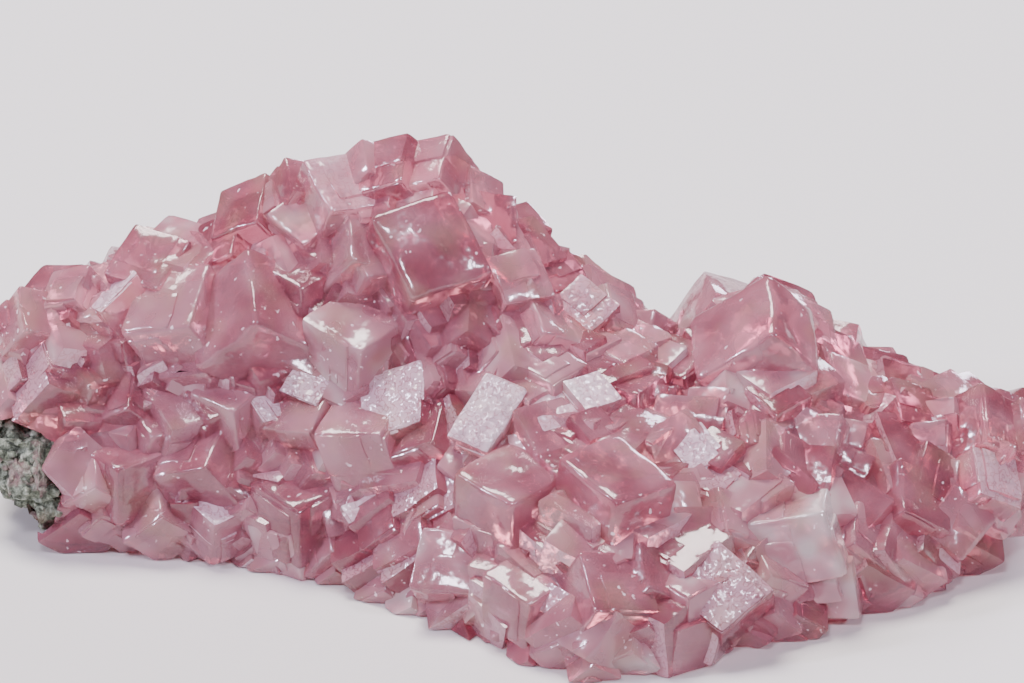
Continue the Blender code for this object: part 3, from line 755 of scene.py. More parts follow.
def block_grid(cells, power):
    """Points, quads and quads' sides of a cube from -1 to 1 with rounded edges and bowed faces."""
    steps = np.linspace(-1.0, 1.0, cells + 1)
    lines = np.sign(steps) * (1.0 - (1.0 - np.abs(steps)) ** EDGE_CROWDING)
    index = {}
    points = []
    quads = []
    sides = []

    def number(place):
        if place not in index:
            index[place] = len(points)
            points.append([lines[i] for i in place])
        return index[place]

    for axis in range(3):
        u, v = (axis + 1) % 3, (axis + 2) % 3
        for side in (0, cells):
            for i in range(cells):
                for j in range(cells):
                    quad = []
                    for di, dj in ((0, 0), (1, 0), (1, 1), (0, 1)):
                        place = [side, side, side]
                        place[u] = i + di
                        place[v] = j + dj
                        quad.append(number(tuple(place)))
                    quads.append(quad if side else quad[::-1])
                    sides.append(axis + (3 if side else 0))
    points = np.array(points)
    reach = (np.abs(points) ** power).sum(axis=1) ** (1.0 / power)
    return points / reach[:, None], quads, np.array(sides)


GRIDS = {}                # grids already made, by their cells and sharpness


def fine_crystal(name, corner, edges, cells, sharpness, tone, frost, collection):
    """One rounded crystal on its three edges. Its tone and each side's frost are kept on its faces.

    The first three sides meet at the corner, and side k looks away from edge k."""
    edges = list(edges)
    frost = list(frost)
    if edges[0].cross(edges[1]).dot(edges[2]) < 0:
        edges[0], edges[1] = edges[1], edges[0]
        frost[0], frost[1] = frost[1], frost[0]
        frost[3], frost[4] = frost[4], frost[3]
    if (cells, sharpness) not in GRIDS:
        GRIDS[cells, sharpness] = block_grid(cells, sharpness)
    points, quads, sides = GRIDS[cells, sharpness]
    middle = np.array(corner + sum(edges, Vector()) / 2)
    mesh = bpy.data.meshes.new(name)
    mesh.from_pydata(((points @ (np.array(edges) / 2) + middle) * MM).tolist(), [], quads)
    mark(mesh, "tone", 'FACE', np.full(len(quads), tone))
    mark(mesh, "frost", 'FACE', np.array(frost)[sides])
    collection.objects.link(bpy.data.objects.new(name, mesh))


PLATES = (2, 4)           # fewest and most growth plates on a crystal
PLATE_SIZE = (0.45, 0.9)  # of the crystal's edges
PLATE_THICK = 0.8         # of its edge inwards, so that its foot is never seen
PLATE_MARGIN = 0.02       # left free at the end of the face that it grows from
PLATE_RISE = (0.03, 0.2)  # mm that a plate stands out of its face
PLATE_TILT = 5.0          # degrees
PLATES_FROM = 2.2         # smaller crystals have none, and neither have the largest


def growth_plates(chance, corner, edges, frost):
    """Sub-parallel plates that step the three outer faces, each grown from one end of its face.

    Each is a corner, three edges and the frost of the face it lies on."""
    plates = []
    for _ in range(chance.randint(*PLATES)):
        turn = chance.randrange(3)
        along, across, out = edges[turn], edges[(turn + 1) % 3], edges[(turn + 2) % 3]
        share_a = chance.uniform(*PLATE_SIZE)
        share_b = chance.uniform(*PLATE_SIZE)
        start = corner + along * chance.choice((PLATE_MARGIN, 1.0 - PLATE_MARGIN - share_a))
        start += across * chance.choice((PLATE_MARGIN, 1.0 - PLATE_MARGIN - share_b))
        start -= out.normalized() * chance.uniform(*PLATE_RISE)
        tilt = Matrix.Rotation(math.radians(PLATE_TILT) * chance.random(), 3, random_direction(chance))
        sides = [tilt @ (along * share_a), tilt @ (across * share_b), tilt @ (out * PLATE_THICK)]
        plates.append((start, sides, [frost[(turn + k) % 3] for k in range(3)] + [0.0] * 3))
    return plates


def crystal_looks(chance, row):
    """A crystal's tone and the frost on its six sides. Only young crystals are frosted by chance."""
    tone = chance.uniform(*CHANCE_TONE)
    frost = [chance.uniform(*FAINT_FROST) if chance.random() < CHANCE_FROST else 0.0 for _ in range(6)]
    if row is not None:
        frost = [0.0] * 6
        tone = TONES.get(row[:2], tone)
        if row[:2] in FROST_AND_SHEEN:
            side, strength = FROST_AND_SHEEN[row[:2]]
            frost[side] = strength
    return tone, frost


def crystal_collection(placed):
    """All large crystals and their growth plates as closed helper meshes."""
    chance = random.Random(TONE_SEED)
    collection = new_collection("crystal_blocks")
    for number, (corner, edges) in enumerate(placed):
        hero = number < len(BEST_SIDE)
        tone, frost = crystal_looks(chance, BEST_SIDE[number] if hero else None)
        longest = max(e.length for e in edges)
        cells = max(FEWEST_CELLS, round(longest / (CELL_HERO if hero else CELL_REST)))
        sharpness = OLD_SHARPNESS if longest > OLD_FROM else EDGE_SHARPNESS
        fine_crystal("crystal_%03d" % number, corner, edges, cells, sharpness, tone, frost, collection)
        if not PLATES_FROM < longest < OLD_FROM:
            continue
        cells = max(FEWEST_CELLS, round(longest / CELL_PLATE))
        for k, (start, sides, bloom) in enumerate(growth_plates(chance, corner, edges, frost)):
            fine_crystal("plate_%03d_%d" % (number, k), start, sides, cells, EDGE_SHARPNESS, tone, bloom,
                         collection)
    return collection


YOUNG_SHAPES = 10         # different tones among the scattered crystals
YOUNG_CELLS = 5           # across a face of theirs
UP = Vector((0.0, 0.0, 1.0))


def young_collection():
    """Unit rhombohedra, corner up, one for each tone, to be scattered by the tree."""
    chance = random.Random(TONE_SEED)
    collection = new_collection("young_blocks")
    for number in range(YOUNG_SHAPES):
        edges = corner_out_edges(UP, 0.0, 1.0 / MM)
        tone, frost = crystal_looks(chance, None)
        fine_crystal("young_%02d" % number, -sum(edges, Vector()) / 2, edges, YOUNG_CELLS,
                     EDGE_SHARPNESS, tone, frost, collection)
    return collection


OWN_GROUND = 0.50         # no young crystal starts nearer to a large one's middle than this share


def frame_of(edges):
    """The turned frame of a crystal: its corner points along z, its first edge runs out along x."""
    corner_way = -sum((e.normalized() for e in edges), Vector()).normalized()
    side = edges[0] - corner_way * edges[0].dot(corner_way)
    side.normalize()
    return Matrix((side, corner_way.cross(side), corner_way)).transposed()


def middles_object(placed):
    """A point at the middle of each large crystal, marked with how far it reaches and how it lies."""
    mesh = bpy.data.meshes.new("crystal_middles")
    mesh.from_pydata([tuple((c + sum(e, Vector()) / 2) * MM) for c, e in placed], [], [])
    mark(mesh, "reach", 'POINT', [max(v.length for v in e) * OWN_GROUND * MM for _, e in placed])
    lies = mesh.attributes.new("lies", 'QUATERNION', 'POINT')
    unturned = frame_of(corner_out_edges(UP, 0.0, 1.0)).inverted()
    for k, (_, edges) in enumerate(placed):
        lies.data[k].value = (frame_of(edges) @ unturned).to_quaternion()
    middles = bpy.data.objects.new("crystal_middles", mesh)
    bpy.context.scene.collection.objects.link(middles)
    return middles


# ---------------------------------------------------------------- the crust of crystals

GROWTH = {
    "Young Spacing": 1.7 * MM,
    "Young Smallest": 2.8 * MM,
    "Young Largest": 4.4 * MM,
    "Young Rise": -0.9 * MM,
    "Young Lean": 0.7,
    "Small Spacing": 1.3 * MM,
    "Small Smallest": 1.4 * MM,
    "Small Largest": 2.3 * MM,
    "Small Rise": -0.1 * MM,
    "Small Lean": 1.0,
    "Parallel Share": 0.75,   # of the scattered crystals lie parallel to the nearest large one
    "Parallel Tilt": 0.12,    # radians, at most, off it
    "Swell": 0.5 * MM,        # how far the mantle grows outwards
    "Waver": 0.16 * MM,       # how far edges and faces bend
    "Seed": 3,
}
WAVER_WIDTH = 1.6         # mm between the bends of edges and faces
MOST_POINTS = 4.0e6       # to the square metre, before their spacing thins them out
CRUST_OVERLAP = 0.1       # the crust meets the rock by this much
END_CUT = 5.0             # and nothing of it lies over the rock's left end as far out as this
CRUST_LOWEST = 0.1        # height of its lowest crystals over the floor
FLOOR_BLOCK = Vector((120.0, 80.0, 20.0))  # size of the block that cuts them there


def nearest_large(tree, middles, name, data_type):
    """A value kept on the large crystal nearest to the point."""
    stored = add_node(tree, 'GeometryNodeObjectInfo', {"Object": middles}).outputs["Geometry"]
    nearest = add_node(tree, 'GeometryNodeSampleNearest', {"Geometry": stored}, domain='POINT')
    value = add_node(tree, 'GeometryNodeInputNamedAttribute', {"Name": name}, data_type=data_type)
    return add_node(tree, 'GeometryNodeSampleIndex', {
        "Geometry": stored, "Value": value, "Index": nearest,
    }, data_type=data_type)


def off_large_crystals(tree, middles):
    """True for the points that lie outside the nearest large crystal's own ground."""
    distance = add_node(tree, 'ShaderNodeVectorMath', {
        0: add_node(tree, 'GeometryNodeInputPosition'),
        1: nearest_large(tree, middles, "position", 'FLOAT_VECTOR'),
    }, operation='DISTANCE')
    return add_node(tree, 'FunctionNodeCompare', {
        0: distance.outputs["Value"], 1: nearest_large(tree, middles, "reach", 'FLOAT'),
    }, operation='GREATER_THAN', data_type='FLOAT')


def young_turn(tree, given, middles, normal, generation, seed):
    """How a young crystal lies: most are parallel to the nearest large one, others at random."""
    spread = add_node(tree, 'FunctionNodeRandomValue', {
        "Min": (-1.0, -1.0, -1.0), "Max": (1.0, 1.0, 1.0), "Seed": seed,
    }, data_type='FLOAT_VECTOR')
    lean = add_node(tree, 'ShaderNodeVectorMath', {
        0: spread, "Scale": given.outputs[generation + " Lean"],
    }, operation='SCALE')
    outward = add_node(tree, 'ShaderNodeVectorMath', {0: normal, 1: lean}, operation='ADD')
    free = add_node(tree, 'FunctionNodeAlignRotationToVector', {"Vector": outward}, axis='Z')
    slight = add_node(tree, 'ShaderNodeVectorMath', {
        0: spread, "Scale": given.outputs["Parallel Tilt"],
    }, operation='SCALE')
    parallel = add_node(tree, 'FunctionNodeRotateRotation', {
        "Rotation": nearest_large(tree, middles, "lies", 'QUATERNION'),
        "Rotate By": add_node(tree, 'FunctionNodeEulerToRotation', {"Euler": slight}),
    })
    chosen = add_node(tree, 'FunctionNodeRandomValue', {
        "Probability": given.outputs["Parallel Share"], "Seed": seed,
    }, data_type='BOOLEAN')
    return add_node(tree, 'GeometryNodeSwitch', {
        "Switch": chosen.outputs[3], "False": free, "True": parallel,
    }, input_type='ROTATION')


def scatter(tree, given, young, middles, generation, seed_step):
    """One generation of crystals on the covered part of the mantle, corners outwards."""
    seed = add_node(tree, 'ShaderNodeMath', {0: given.outputs["Seed"], 1: seed_step}, operation='ADD')
    cover = add_node(tree, 'GeometryNodeInputNamedAttribute', {"Name": "cover"}, data_type='FLOAT')
    spread = add_node(tree, 'GeometryNodeDistributePointsOnFaces', {
        "Mesh": given.outputs["Geometry"],
        "Distance Min": given.outputs[generation + " Spacing"],
        "Density Max": MOST_POINTS,
        "Density Factor": cover,
        "Seed": seed,
    }, distribute_method='POISSON')
    normal = spread.outputs["Normal"]
    shapes = add_node(tree, 'GeometryNodeCollectionInfo', {
        "Collection": young, "Separate Children": True, "Reset Children": True,
    })
    size = add_node(tree, 'FunctionNodeRandomValue', {
        2: given.outputs[generation + " Smallest"],
        3: given.outputs[generation + " Largest"],
        "Seed": seed,
    }, data_type='FLOAT')
    return add_node(tree, 'GeometryNodeInstanceOnPoints', {
        "Points": moved(tree, spread, normal, given.outputs[generation + " Rise"]),
        "Instance": shapes,
        "Selection": off_large_crystals(tree, middles),
        "Pick Instance": True,
        "Rotation": young_turn(tree, given, middles, normal, generation, seed),
        "Scale": size.outputs[1],
    })


def swollen_mantle(tree, given):
    """The mantle, grown outwards where crystals cover it."""
    cover = add_node(tree, 'GeometryNodeInputNamedAttribute', {"Name": "cover"}, data_type='FLOAT')
    rise = add_node(tree, 'ShaderNodeMath', {0: given.outputs["Swell"], 1: cover}, operation='MULTIPLY')
    return moved(tree, given.outputs["Geometry"], add_node(tree, 'GeometryNodeInputNormal'), rise)


def waver(tree, given, mesh):
    """Bends edges and faces a little, as no grown crystal is quite straight."""
    noise = add_node(tree, 'ShaderNodeTexNoise', {
        "Vector": add_node(tree, 'GeometryNodeInputPosition'),
        "Scale": waves(WAVER_WIDTH),
        "Detail": 2.0,
    })
    centred = add_node(tree, 'ShaderNodeVectorMath', {0: noise.outputs["Color"], 1: (0.5, 0.5, 0.5)},
                       operation='SUBTRACT')
    doubled = add_node(tree, 'ShaderNodeMath', {0: given.outputs["Waver"], 1: 2.0}, operation='MULTIPLY')
    return moved(tree, mesh, centred, doubled)


def crust_tree(large, young, middles, material):
    """Unites the mantle, the large crystals and two scattered generations."""
    tree, given, result = new_geometry_tree("pink_crystals", GROWTH)
    union = add_node(tree, 'GeometryNodeMeshBoolean', operation='UNION', solver='MANIFOLD')
    for part in (
        add_node(tree, 'GeometryNodeCollectionInfo', {"Collection": large, "Separate Children": True}),
        scatter(tree, given, young, middles, "Young", 0),
        scatter(tree, given, young, middles, "Small", 1),
        swollen_mantle(tree, given),
    ):
        tree.links.new(part.outputs[0], union.inputs["Mesh"])
    finish_tree(tree, waver(tree, given, union), result, material)
    return tree


def mark_cover(mesh, rings):
    """Marks each point of the mantle by its share of the crust's depth, and the underside as bare."""
    cover = []
    for ring in rings:
        crest = max(ring, key=lambda p: p.z)
        for k, point in enumerate(ring):
            underneath = k > 0 and point.z < ring[0].z + LEVEL
            depth = 0.0 if underneath else crust_depth(point, crest)
            cover.append(ramp(depth, 0.0, CRUST_DEPTH * FILLER_CRUST))
    mark(mesh, "cover", 'POINT', cover + [cover[0], cover[-len(rings[-1])]])


def rock_bed(rings):
    """The rock's shape with its broken left end carried on outwards, to cut the crust with."""
    bed = rock_rings(rings, -CRUST_OVERLAP)
    carried_on = [point - Vector((END_CUT, 0.0, 0.0)) for point in bed[0]]
    return loft("rock_bed", [carried_on] + bed)


def floor_block():
    bm = bmesh.new()
    bmesh.ops.create_cube(bm, size=1.0)
    size = FLOOR_BLOCK * MM
    bmesh.ops.transform(bm, matrix=Matrix.Diagonal(size.to_4d()), verts=bm.verts)
    bmesh.ops.translate(bm, vec=(0.0, 0.0, CRUST_LOWEST * MM - size.z / 2), verts=bm.verts)
    return add_object("floor_block", bm)


def crystal_crust(rings, placed):
    """The mantle with large and young crystals united on it, off the rock and off the floor."""
    large = crystal_collection(placed)
    young = young_collection()
    middles = middles_object(placed)
    material = smithsonite()
    crust = loft("pink_crystals", rings)
    mark(crust.data, "tone", 'FACE', np.full(len(crust.data.polygons), MANTLE_TONE))
    mark(crust.data, "frost", 'FACE', np.zeros(len(crust.data.polygons)))
    mark_cover(crust.data, rings)
    run_geometry_tree(crust, crust_tree(large, young, middles, material), GROWTH)
    remove_helpers(large, young)
    bpy.data.objects.remove(middles, do_unlink=True)
    cut_with(crust, rock_bed(rings))
    cut_with(crust, floor_block())
    finish_mesh(crust.data, material)
    return crust


# ---------------------------------------------------------------- the host rock

ROCK = {
    "Lumps": 0.7 * MM,        # how deep the broken surface is hollowed between lumps
    "Lump Width": 1.4 * MM,
    "Pits": 1.3 * MM,
    "Pit Width": 2.2 * MM,
    "Grain Spacing": 0.8 * MM,
    "Grain Smallest": 0.4 * MM,
    "Grain Largest": 1.1 * MM,
    "Grain Cover": 0.4,       # grains lie where the rock is at least this bare
    "Level Foot": 0.6 * MM,   # moved less and less and bare of grains below this: the base stays flat
    "Seed": 11,
}
MOST_GRAINS = 6.0e6       # to the square metre, before their spacing thins them out
ROCK_CUTS = 3             # each halves the edges of the rock's faces


def height_of_place(tree):
    place = add_node(tree, 'GeometryNodeInputPosition')
    return add_node(tree, 'ShaderNodeSeparateXYZ', {"Vector": place}).outputs["Z"]


def noise_hollow(tree, given, depth, width):
    """How far a noise of this width pushes the surface in: from nothing to the whole depth."""
    noise = add_node(tree, 'ShaderNodeTexNoise', {
        "Vector": add_node(tree, 'GeometryNodeInputPosition'),
        "Scale": add_node(tree, 'ShaderNodeMath', {0: 1.0, 1: given.outputs[width]}, operation='DIVIDE'),
        "Detail": 3.0,
    })
    share = add_node(tree, 'ShaderNodeMapRange', {"Value": noise, "From Min": 0.4, "From Max": 0.68})
    return add_node(tree, 'ShaderNodeMath', {0: share, 1: given.outputs[depth]}, operation='MULTIPLY')


def hollowed_rock(tree, given):
    """The rock's solid, cut fine and pushed in between its lumps and in its pits."""
    fine = add_node(tree, 'GeometryNodeSubdivideMesh', {
        "Mesh": given.outputs["Geometry"], "Level": ROCK_CUTS,
    })
    both = add_node(tree, 'ShaderNodeMath', {
        0: noise_hollow(tree, given, "Lumps", "Lump Width"),
        1: noise_hollow(tree, given, "Pits", "Pit Width"),
    }, operation='ADD')
    above_foot = add_node(tree, 'ShaderNodeMapRange', {
        "Value": height_of_place(tree), "From Max": given.outputs["Level Foot"],
    })
    masked = add_node(tree, 'ShaderNodeMath', {0: both, 1: above_foot}, operation='MULTIPLY')
    inward = add_node(tree, 'ShaderNodeMath', {0: masked, 1: -1.0}, operation='MULTIPLY')
    return moved(tree, fine, add_node(tree, 'GeometryNodeInputNormal'), inward)


def rock_grains(tree, given, surface):
    """Small angular grains, half sunk in the rock's surface."""
    seed = given.outputs["Seed"]
    spread = add_node(tree, 'GeometryNodeDistributePointsOnFaces', {
        "Mesh": surface,
        "Distance Min": given.outputs["Grain Spacing"],
        "Density Max": MOST_GRAINS,
        "Seed": seed,
    }, distribute_method='POISSON')
    turn = add_node(tree, 'FunctionNodeRandomValue', {
        "Max": (math.tau, math.tau, math.tau), "Seed": seed,
    }, data_type='FLOAT_VECTOR')
    size = add_node(tree, 'FunctionNodeRandomValue', {
        2: given.outputs["Grain Smallest"], 3: given.outputs["Grain Largest"], "Seed": seed,
    }, data_type='FLOAT')
    return add_node(tree, 'GeometryNodeInstanceOnPoints', {
        "Points": spread,
        "Selection": bare_and_high(tree, given),
        "Instance": add_node(tree, 'GeometryNodeMeshIcoSphere', {"Radius": 0.5, "Subdivisions": 1}),
        "Rotation": turn,
        "Scale": size.outputs[1],
    })


def bare_and_high(tree, given):
    """True where the rock is bare and a grain would stay clear of the underside."""
    bareness = add_node(tree, 'GeometryNodeInputNamedAttribute', {"Name": "bare"}, data_type='FLOAT')
    bare = add_node(tree, 'FunctionNodeCompare', {
        0: bareness, 1: given.outputs["Grain Cover"],
    }, operation='GREATER_THAN', data_type='FLOAT')
    high = add_node(tree, 'FunctionNodeCompare', {
        0: height_of_place(tree), 1: given.outputs["Level Foot"],
    }, operation='GREATER_THAN', data_type='FLOAT')
    return add_node(tree, 'FunctionNodeBooleanMath', {0: bare, 1: high}, operation='AND')


def mark_bare(mesh, rings):
    """Marks the rock's points by how little crust lies over the same place of the mantle."""
    crests = [max(ring, key=lambda p: p.z) for ring in rings]
    depths = [crust_depth(p, crest) for ring, crest in zip(rings, crests) for p in ring]
    bare = [1.0 - ramp(depth, -ROCK_PROUD, CRUST_DEPTH * FILLER_CRUST) for depth in depths]
    left_end = len(rings[0])
    bare[:left_end] = [1.0] * left_end
    mark(mesh, "bare", 'POINT', bare + [bare[0], bare[-1]])


def rock_tree(material):
    """Unites the hollowed rock with its grains."""
    tree, given, result = new_geometry_tree("granular rock", ROCK)
    surface = hollowed_rock(tree, given)
    union = add_node(tree, 'GeometryNodeMeshBoolean', operation='UNION', solver='MANIFOLD')
    for part in (rock_grains(tree, given, surface), surface):
        tree.links.new(part.outputs[0], union.inputs["Mesh"])
    finish_tree(tree, union, result, material)
    return tree


def host_rock(rings):
    rock = loft("granular_rock", rock_rings(rings, 0.0))
    mark_bare(rock.data, rings)
    material = matrix_rock()
    run_geometry_tree(rock, rock_tree(material), ROCK)
    finish_mesh(rock.data, material)
    return rock


# ---------------------------------------------------------------- materials

SWELL_WIDTH = 2.2         # mm from crest to crest of the faces' slow waves
HAZE_WIDTH = 2.6          # mm across the clouds inside the crystals
FLECK_WIDTH = 0.4         # mm, of the noise whose peaks are the painted glints: white specks painted into the colour
SWELL_LEAN = 0.5          # how far the slow waves lean a face's normal
CRINKLE_LEAN = (0.22, 1.5)  # and the fine ones, on a clear face and on a frosted one
ABSORPTION = 80.0         # density of the pink body


def smithsonite():
    """Smithsonite, zinc carbonate, grown faces: clear to hazy pink, glassy, frosted in places, with a
    sheen painted on the frosted faces and glints painted here and there.
    """
    material, tree, shader = new_material("smithsonite, grown crystal faces")
    place = add_node(tree, 'ShaderNodeTexCoord').outputs["Object"]
    frost = add_node(tree, 'ShaderNodeAttribute', attribute_name="frost").outputs["Fac"]
    soft = add_node(tree, 'ShaderNodeTexNoise', {
        "Vector": place, "Scale": waves(HAZE_WIDTH), "Detail": 1.0,
    })
    clouds = add_node(tree, 'ShaderNodeSeparateColor', {"Color": soft.outputs["Color"]}).outputs
    fine = add_node(tree, 'ShaderNodeTexNoise', {
        "Vector": place, "Scale": waves(FLECK_WIDTH), "Detail": 1.0,
    })
    specks = add_node(tree, 'ShaderNodeSeparateColor', {"Color": fine.outputs["Color"]}).outputs
    haze = haze_amount(tree, clouds["Red"])
    # white: frost whitening that is partly a painted sheen; the flecks below are painted glints
    white = frost_white_and_sheen(tree, specks["Green"], frost)
    painted_glints = painted_glint_flecks(tree, specks["Red"], clouds["Blue"])
    colour = grown_colour(tree, haze, clouds["Green"], white, painted_glints)
    clear = clearness(tree, haze, white, painted_glints)
    relief = grown_relief(tree, place, fine.outputs["Color"], frost)
    rough = add_node(tree, 'ShaderNodeMapRange', {"Value": frost, "To Min": 0.15, "To Max": 0.22})
    tree.links.new(colour, shader.inputs["Base Color"])
    tree.links.new(clear.outputs["Value"], shader.inputs["Transmission Weight"])
    tree.links.new(relief.outputs["Vector"], shader.inputs["Normal"])
    tree.links.new(rough.outputs["Result"], shader.inputs["Roughness"])
    shader.inputs["IOR"].default_value = 1.65
    absorb_pink(tree)
    return material


def haze_amount(tree, cloud):
    """How milky the crystal is: its own tone, changed by soft clouds."""
    tone = add_node(tree, 'ShaderNodeAttribute', attribute_name="tone")
    change = add_node(tree, 'ShaderNodeMapRange', {
        "Value": cloud, "From Min": 0.3, "From Max": 0.7, "To Min": -0.22, "To Max": 0.22,
    })
    return add_node(tree, 'ShaderNodeMath', {0: tone.outputs["Fac"], 1: change},
                    operation='ADD', use_clamp=True)


def frost_white_and_sheen(tree, fine, frost):
    """How white a frosted face is, partly for real frost and partly as a painted sheen of the lights:
    white between thin, winding growth lines.
    """
    off_line = add_node(tree, 'ShaderNodeMath', {0: fine, 1: 0.5}, operation='SUBTRACT')
    distance = add_node(tree, 'ShaderNodeMath', {0: off_line}, operation='ABSOLUTE')
    white = add_node(tree, 'ShaderNodeMapRange', {
        "Value": distance, "From Max": 0.05, "To Min": 0.25, "To Max": 0.6,
    })
    return add_node(tree, 'ShaderNodeMath', {0: white, 1: frost}, operation='MULTIPLY')


def painted_glint_flecks(tree, fine, patch):
    """Painted glints: white specks painted into the colour, standing in for light caught by tiny cleavage
    cracks, here and there.
    """
    peaks = add_node(tree, 'ShaderNodeMapRange', {
        "Value": fine, "From Min": 0.69, "From Max": 0.75, "To Max": 0.7,
    })
    here = add_node(tree, 'ShaderNodeMapRange', {"Value": patch, "From Min": 0.50, "From Max": 0.60})
    return add_node(tree, 'ShaderNodeMath', {0: peaks, 1: here}, operation='MULTIPLY')


def grown_colour(tree, haze, warm_cloud, white, painted_glints):
    """Rose where clear to near white where milky, warmed to peach in places, whitened on frost (partly a
    painted sheen) and at the painted glints.
    """
    body = add_node(tree, 'ShaderNodeValToRGB', {"Fac": haze})
    ramp_stops(body, [(0.0, "#CC7488"), (0.4, "#DB92A3"), (0.75, "#E3A8B4"), (1.0, "#F2E3E2")])
    peach = add_node(tree, 'ShaderNodeMapRange', {
        "Value": warm_cloud, "From Min": 0.52, "From Max": 0.70, "To Max": 0.4,
    })
    colour = body.outputs["Color"]
    # mixed in last: the frost white, partly a painted sheen of the lights, and the painted glints
    for share, hex_colour in ((peach, "#E0B7A2"), (white, "#F3EAF5"), (painted_glints, "#FBF2F8")):
        colour = add_node(tree, 'ShaderNodeMix', {
            "Factor": share, 6: colour, 7: linear(hex_colour),
        }, data_type='RGBA').outputs[2]
    return colour


def clearness(tree, haze, white, painted_glints):
    """How much light goes into the crystal: less where it is milky, little where frosted or under the
    painted glints.
    """
    dull = add_node(tree, 'ShaderNodeMath', {0: white, 1: painted_glints}, operation='MAXIMUM')
    through_body = add_node(tree, 'ShaderNodeMapRange', {
        "Value": haze, "From Max": 0.9, "To Min": 0.78, "To Max": 0.57,
    })
    through_face = add_node(tree, 'ShaderNodeMapRange', {"Value": dull, "To Min": 1.0, "To Max": 0.1})
    return add_node(tree, 'ShaderNodeMath', {0: through_body, 1: through_face}, operation='MULTIPLY')


def grown_relief(tree, place, fine, frost):
    """Normal of a grown face: slow swells, and fine crinkles that are stronger where frosted."""
    swell = add_node(tree, 'ShaderNodeTexNoise', {
        "Vector": place, "Scale": waves(SWELL_WIDTH), "Detail": 0.0,
    })
    crinkle = add_node(tree, 'ShaderNodeMapRange', {
        "Value": frost, "To Min": CRINKLE_LEAN[0], "To Max": CRINKLE_LEAN[1],
    })
    normal = add_node(tree, 'ShaderNodeNewGeometry').outputs["Normal"]
    for colour, amount in ((swell.outputs["Color"], SWELL_LEAN), (fine, crinkle)):
        centred = add_node(tree, 'ShaderNodeVectorMath', {0: colour, 1: (0.5, 0.5, 0.5)},
                           operation='SUBTRACT')
        lean = add_node(tree, 'ShaderNodeVectorMath', {0: centred, "Scale": amount}, operation='SCALE')
        normal = add_node(tree, 'ShaderNodeVectorMath', {0: normal, 1: lean}, operation='ADD')
    return add_node(tree, 'ShaderNodeVectorMath', {0: normal}, operation='NORMALIZE')


def absorb_pink(tree):
    """Light that goes through the crystal turns pink on its way."""
    absorption = add_node(tree, 'ShaderNodeVolumeAbsorption', {
        "Color": linear("#EB96AC"), "Density": ABSORPTION,
    })
    tree.links.new(absorption.outputs["Volume"], tree.nodes["Material Output"].inputs["Volume"])


def ramp_stops(node, stops):
    """Sets a colour ramp's stops from (place, hex colour) pairs."""
    elements = node.color_ramp.elements
    while len(elements) > 1:
        elements.remove(elements[-1])
    elements[0].position, elements[0].color = stops[0][0], linear(stops[0][1])
    for place, hex_colour in stops[1:]:
        elements.new(place).color = linear(hex_colour)


GRAIN_WIDTH = 0.6         # mm across the rock's light and dark grains
GRAIN_RELIEF = 0.25       # mm
RUST = (1.8, "#6B4426")   # mm across its patches, and its colour
RUST_SPREAD = (0.52, 0.30)  # how far it spreads at the foot, and in the rock above
RUST_HEIGHT = (0.5, 4.0)  # mm: from foot to rock above
PINK_FILM = (2.9, "#B5868A")
PINK_SPREAD = 0.40


def matrix_rock():
    """Oxidised zinc ore matrix: dull, granular, pale green-grey, rusty at the foot, pink in streaks."""
    material, tree, shader = new_material("zinc ore matrix, broken surface")
    place = add_node(tree, 'ShaderNodeTexCoord').outputs["Object"]
    grain = add_node(tree, 'ShaderNodeTexNoise', {
        "Vector": place, "Scale": waves(GRAIN_WIDTH), "Detail": 6.0, "Roughness": 0.75,
    })
    colour = add_node(tree, 'ShaderNodeValToRGB', {"Fac": grain})
    ramp_stops(colour, [(0.34, "#20231C"), (0.45, "#4F5648"), (0.56, "#868F7E"), (0.7, "#C9CEC0")])
    height = add_node(tree, 'ShaderNodeSeparateXYZ', {"Vector": place})
    rust = add_node(tree, 'ShaderNodeMapRange', {
        "Value": height.outputs["Z"],
        "From Min": RUST_HEIGHT[0] * MM,
        "From Max": RUST_HEIGHT[1] * MM,
        "To Min": RUST_SPREAD[0],
        "To Max": RUST_SPREAD[1],
    })
    rusted = stained(tree, place, colour.outputs["Color"], rust.outputs["Result"], *RUST)
    tinted = stained(tree, place, rusted, PINK_SPREAD, *PINK_FILM)
    bump = add_node(tree, 'ShaderNodeBump', {
        "Height": grain, "Strength": 0.7, "Distance": GRAIN_RELIEF * MM,
    })
    tree.links.new(tinted, shader.inputs["Base Color"])
    tree.links.new(bump.outputs["Normal"], shader.inputs["Normal"])
    shader.inputs["Roughness"].default_value = 0.9
    shader.inputs["IOR"].default_value = 1.5
    return material


def stained(tree, place, colour, reach, width, hex_colour):
    """Mixes a stain into the colour, in patches of this width; reach from 0 to 1 is how far it spreads."""
    patches = add_node(tree, 'ShaderNodeTexNoise', {
        "Vector": place, "Scale": waves(width), "Detail": 5.0, "Roughness": 0.65,
    })
    spread = add_node(tree, 'ShaderNodeMath', {0: patches, 1: reach}, operation='ADD')
    share = add_node(tree, 'ShaderNodeMapRange', {
        "Value": spread, "From Min": 0.92, "From Max": 1.12, "To Max": 0.85,
    })
    return add_node(tree, 'ShaderNodeMix', {
        "Factor": share, 6: colour, 7: linear(hex_colour),
    }, data_type='RGBA').outputs[2]


def paper():
    """Matte paper: an even, pale ground without gloss."""
    material, _, shader = new_material("matte paper")
    shader.inputs["Base Color"].default_value = linear("#D8D6D3")
    shader.inputs["Roughness"].default_value = 0.9
    return material


# ---------------------------------------------------------------- the stage

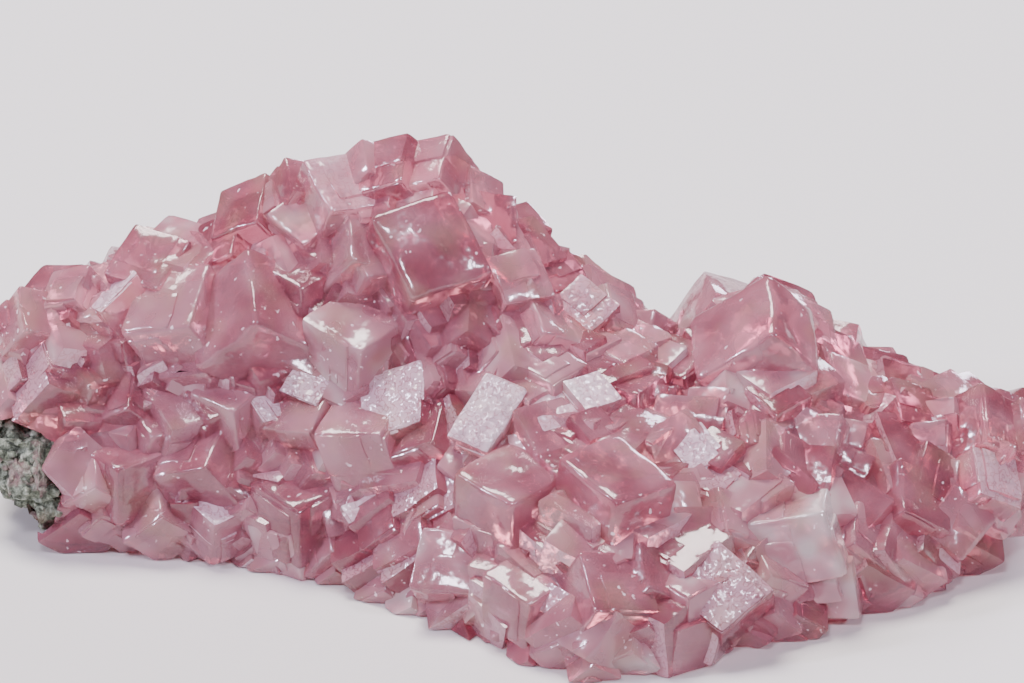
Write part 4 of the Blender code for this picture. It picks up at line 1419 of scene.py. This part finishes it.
VIEW_WIDTH = 64.0         # mm across the picture at the layout plane
SENSOR_WIDTH = 36.0
FLOOR_REACH = 1.5         # metres from the middle of the floor to its edge
LIT_POINT = (0.0, 0.0, 0.01)  # metres, as are the lights' places and sizes
LIGHTS = [                # name, place, size, watts, colour
    ("overhead", (-0.12, 0.10, 0.60), 0.30, 6.2, "#FFF6F4"),
    ("back", (0.22, 0.50, 0.30), 0.25, 4.0, "#ECE8FF"),
    ("front", (-0.06, -0.42, 0.46), 0.10, 2.0, "#F2EAFF"),
    ("left", (-0.50, -0.15, 0.30), 0.07, 2.8, "#EAE2FF"),
    ("right", (0.42, -0.38, 0.40), 0.07, 2.2, "#EEE6FF"),
]


def add_stage():
    bm = bmesh.new()
    bmesh.ops.create_grid(bm, x_segments=1, y_segments=1, size=FLOOR_REACH)
    floor = add_object("paper_floor", bm)
    floor.data.materials.append(paper())


def stand_in_scene(name, data, place, way):
    """Links a camera or a light that looks along the way."""
    obj = bpy.data.objects.new(name, data)
    bpy.context.scene.collection.objects.link(obj)
    obj.location = place
    obj.rotation_euler = way.to_track_quat('-Z', 'Y').to_euler()
    return obj


def add_camera():
    camera = bpy.data.cameras.new("camera")
    camera.sensor_width = SENSOR_WIDTH
    camera.lens = SENSOR_WIDTH * LAYOUT_DISTANCE / VIEW_WIDTH
    camera.clip_start = 0.01
    bpy.context.scene.camera = stand_in_scene("camera", camera, EYE * MM, AWAY)


def add_lights():
    for name, place, size, watts, hex_colour in LIGHTS:
        light = bpy.data.lights.new(name, 'AREA')
        light.shape = 'DISK'
        light.size = size
        light.energy = watts
        light.color = linear(hex_colour)[:3]
        stand_in_scene(name, light, place, Vector(LIT_POINT) - Vector(place))
    world = bpy.data.worlds.new("studio")
    world.use_nodes = True
    background = world.node_tree.nodes["Background"]
    background.inputs["Color"].default_value = linear("#E8E9EC")
    background.inputs["Strength"].default_value = 0.18
    bpy.context.scene.world = world


# ---------------------------------------------------------------- assembly

def place_crystals(rings):
    mantle = loft("mantle", rings)
    surface = BVHTree.FromPolygons([v.co / MM for v in mantle.data.vertices],
                                   [p.vertices for p in mantle.data.polygons])
    bpy.data.objects.remove(mantle, do_unlink=True)
    placed = best_side_crystals(surface, BEST_SIDE)
    return placed + filler_crystals(rings, placed)


rings = mantle_rings()
placed = place_crystals(rings)
crust = crystal_crust(rings, placed)
rock = host_rock(rings)
for piece, slot in ((crust, "pink_smithsonite"), (rock, "host_rock")):
    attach(piece, "root")
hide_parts("pink_crystal_crust")
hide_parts("host_rock")
add_stage()
add_camera()
add_lights()
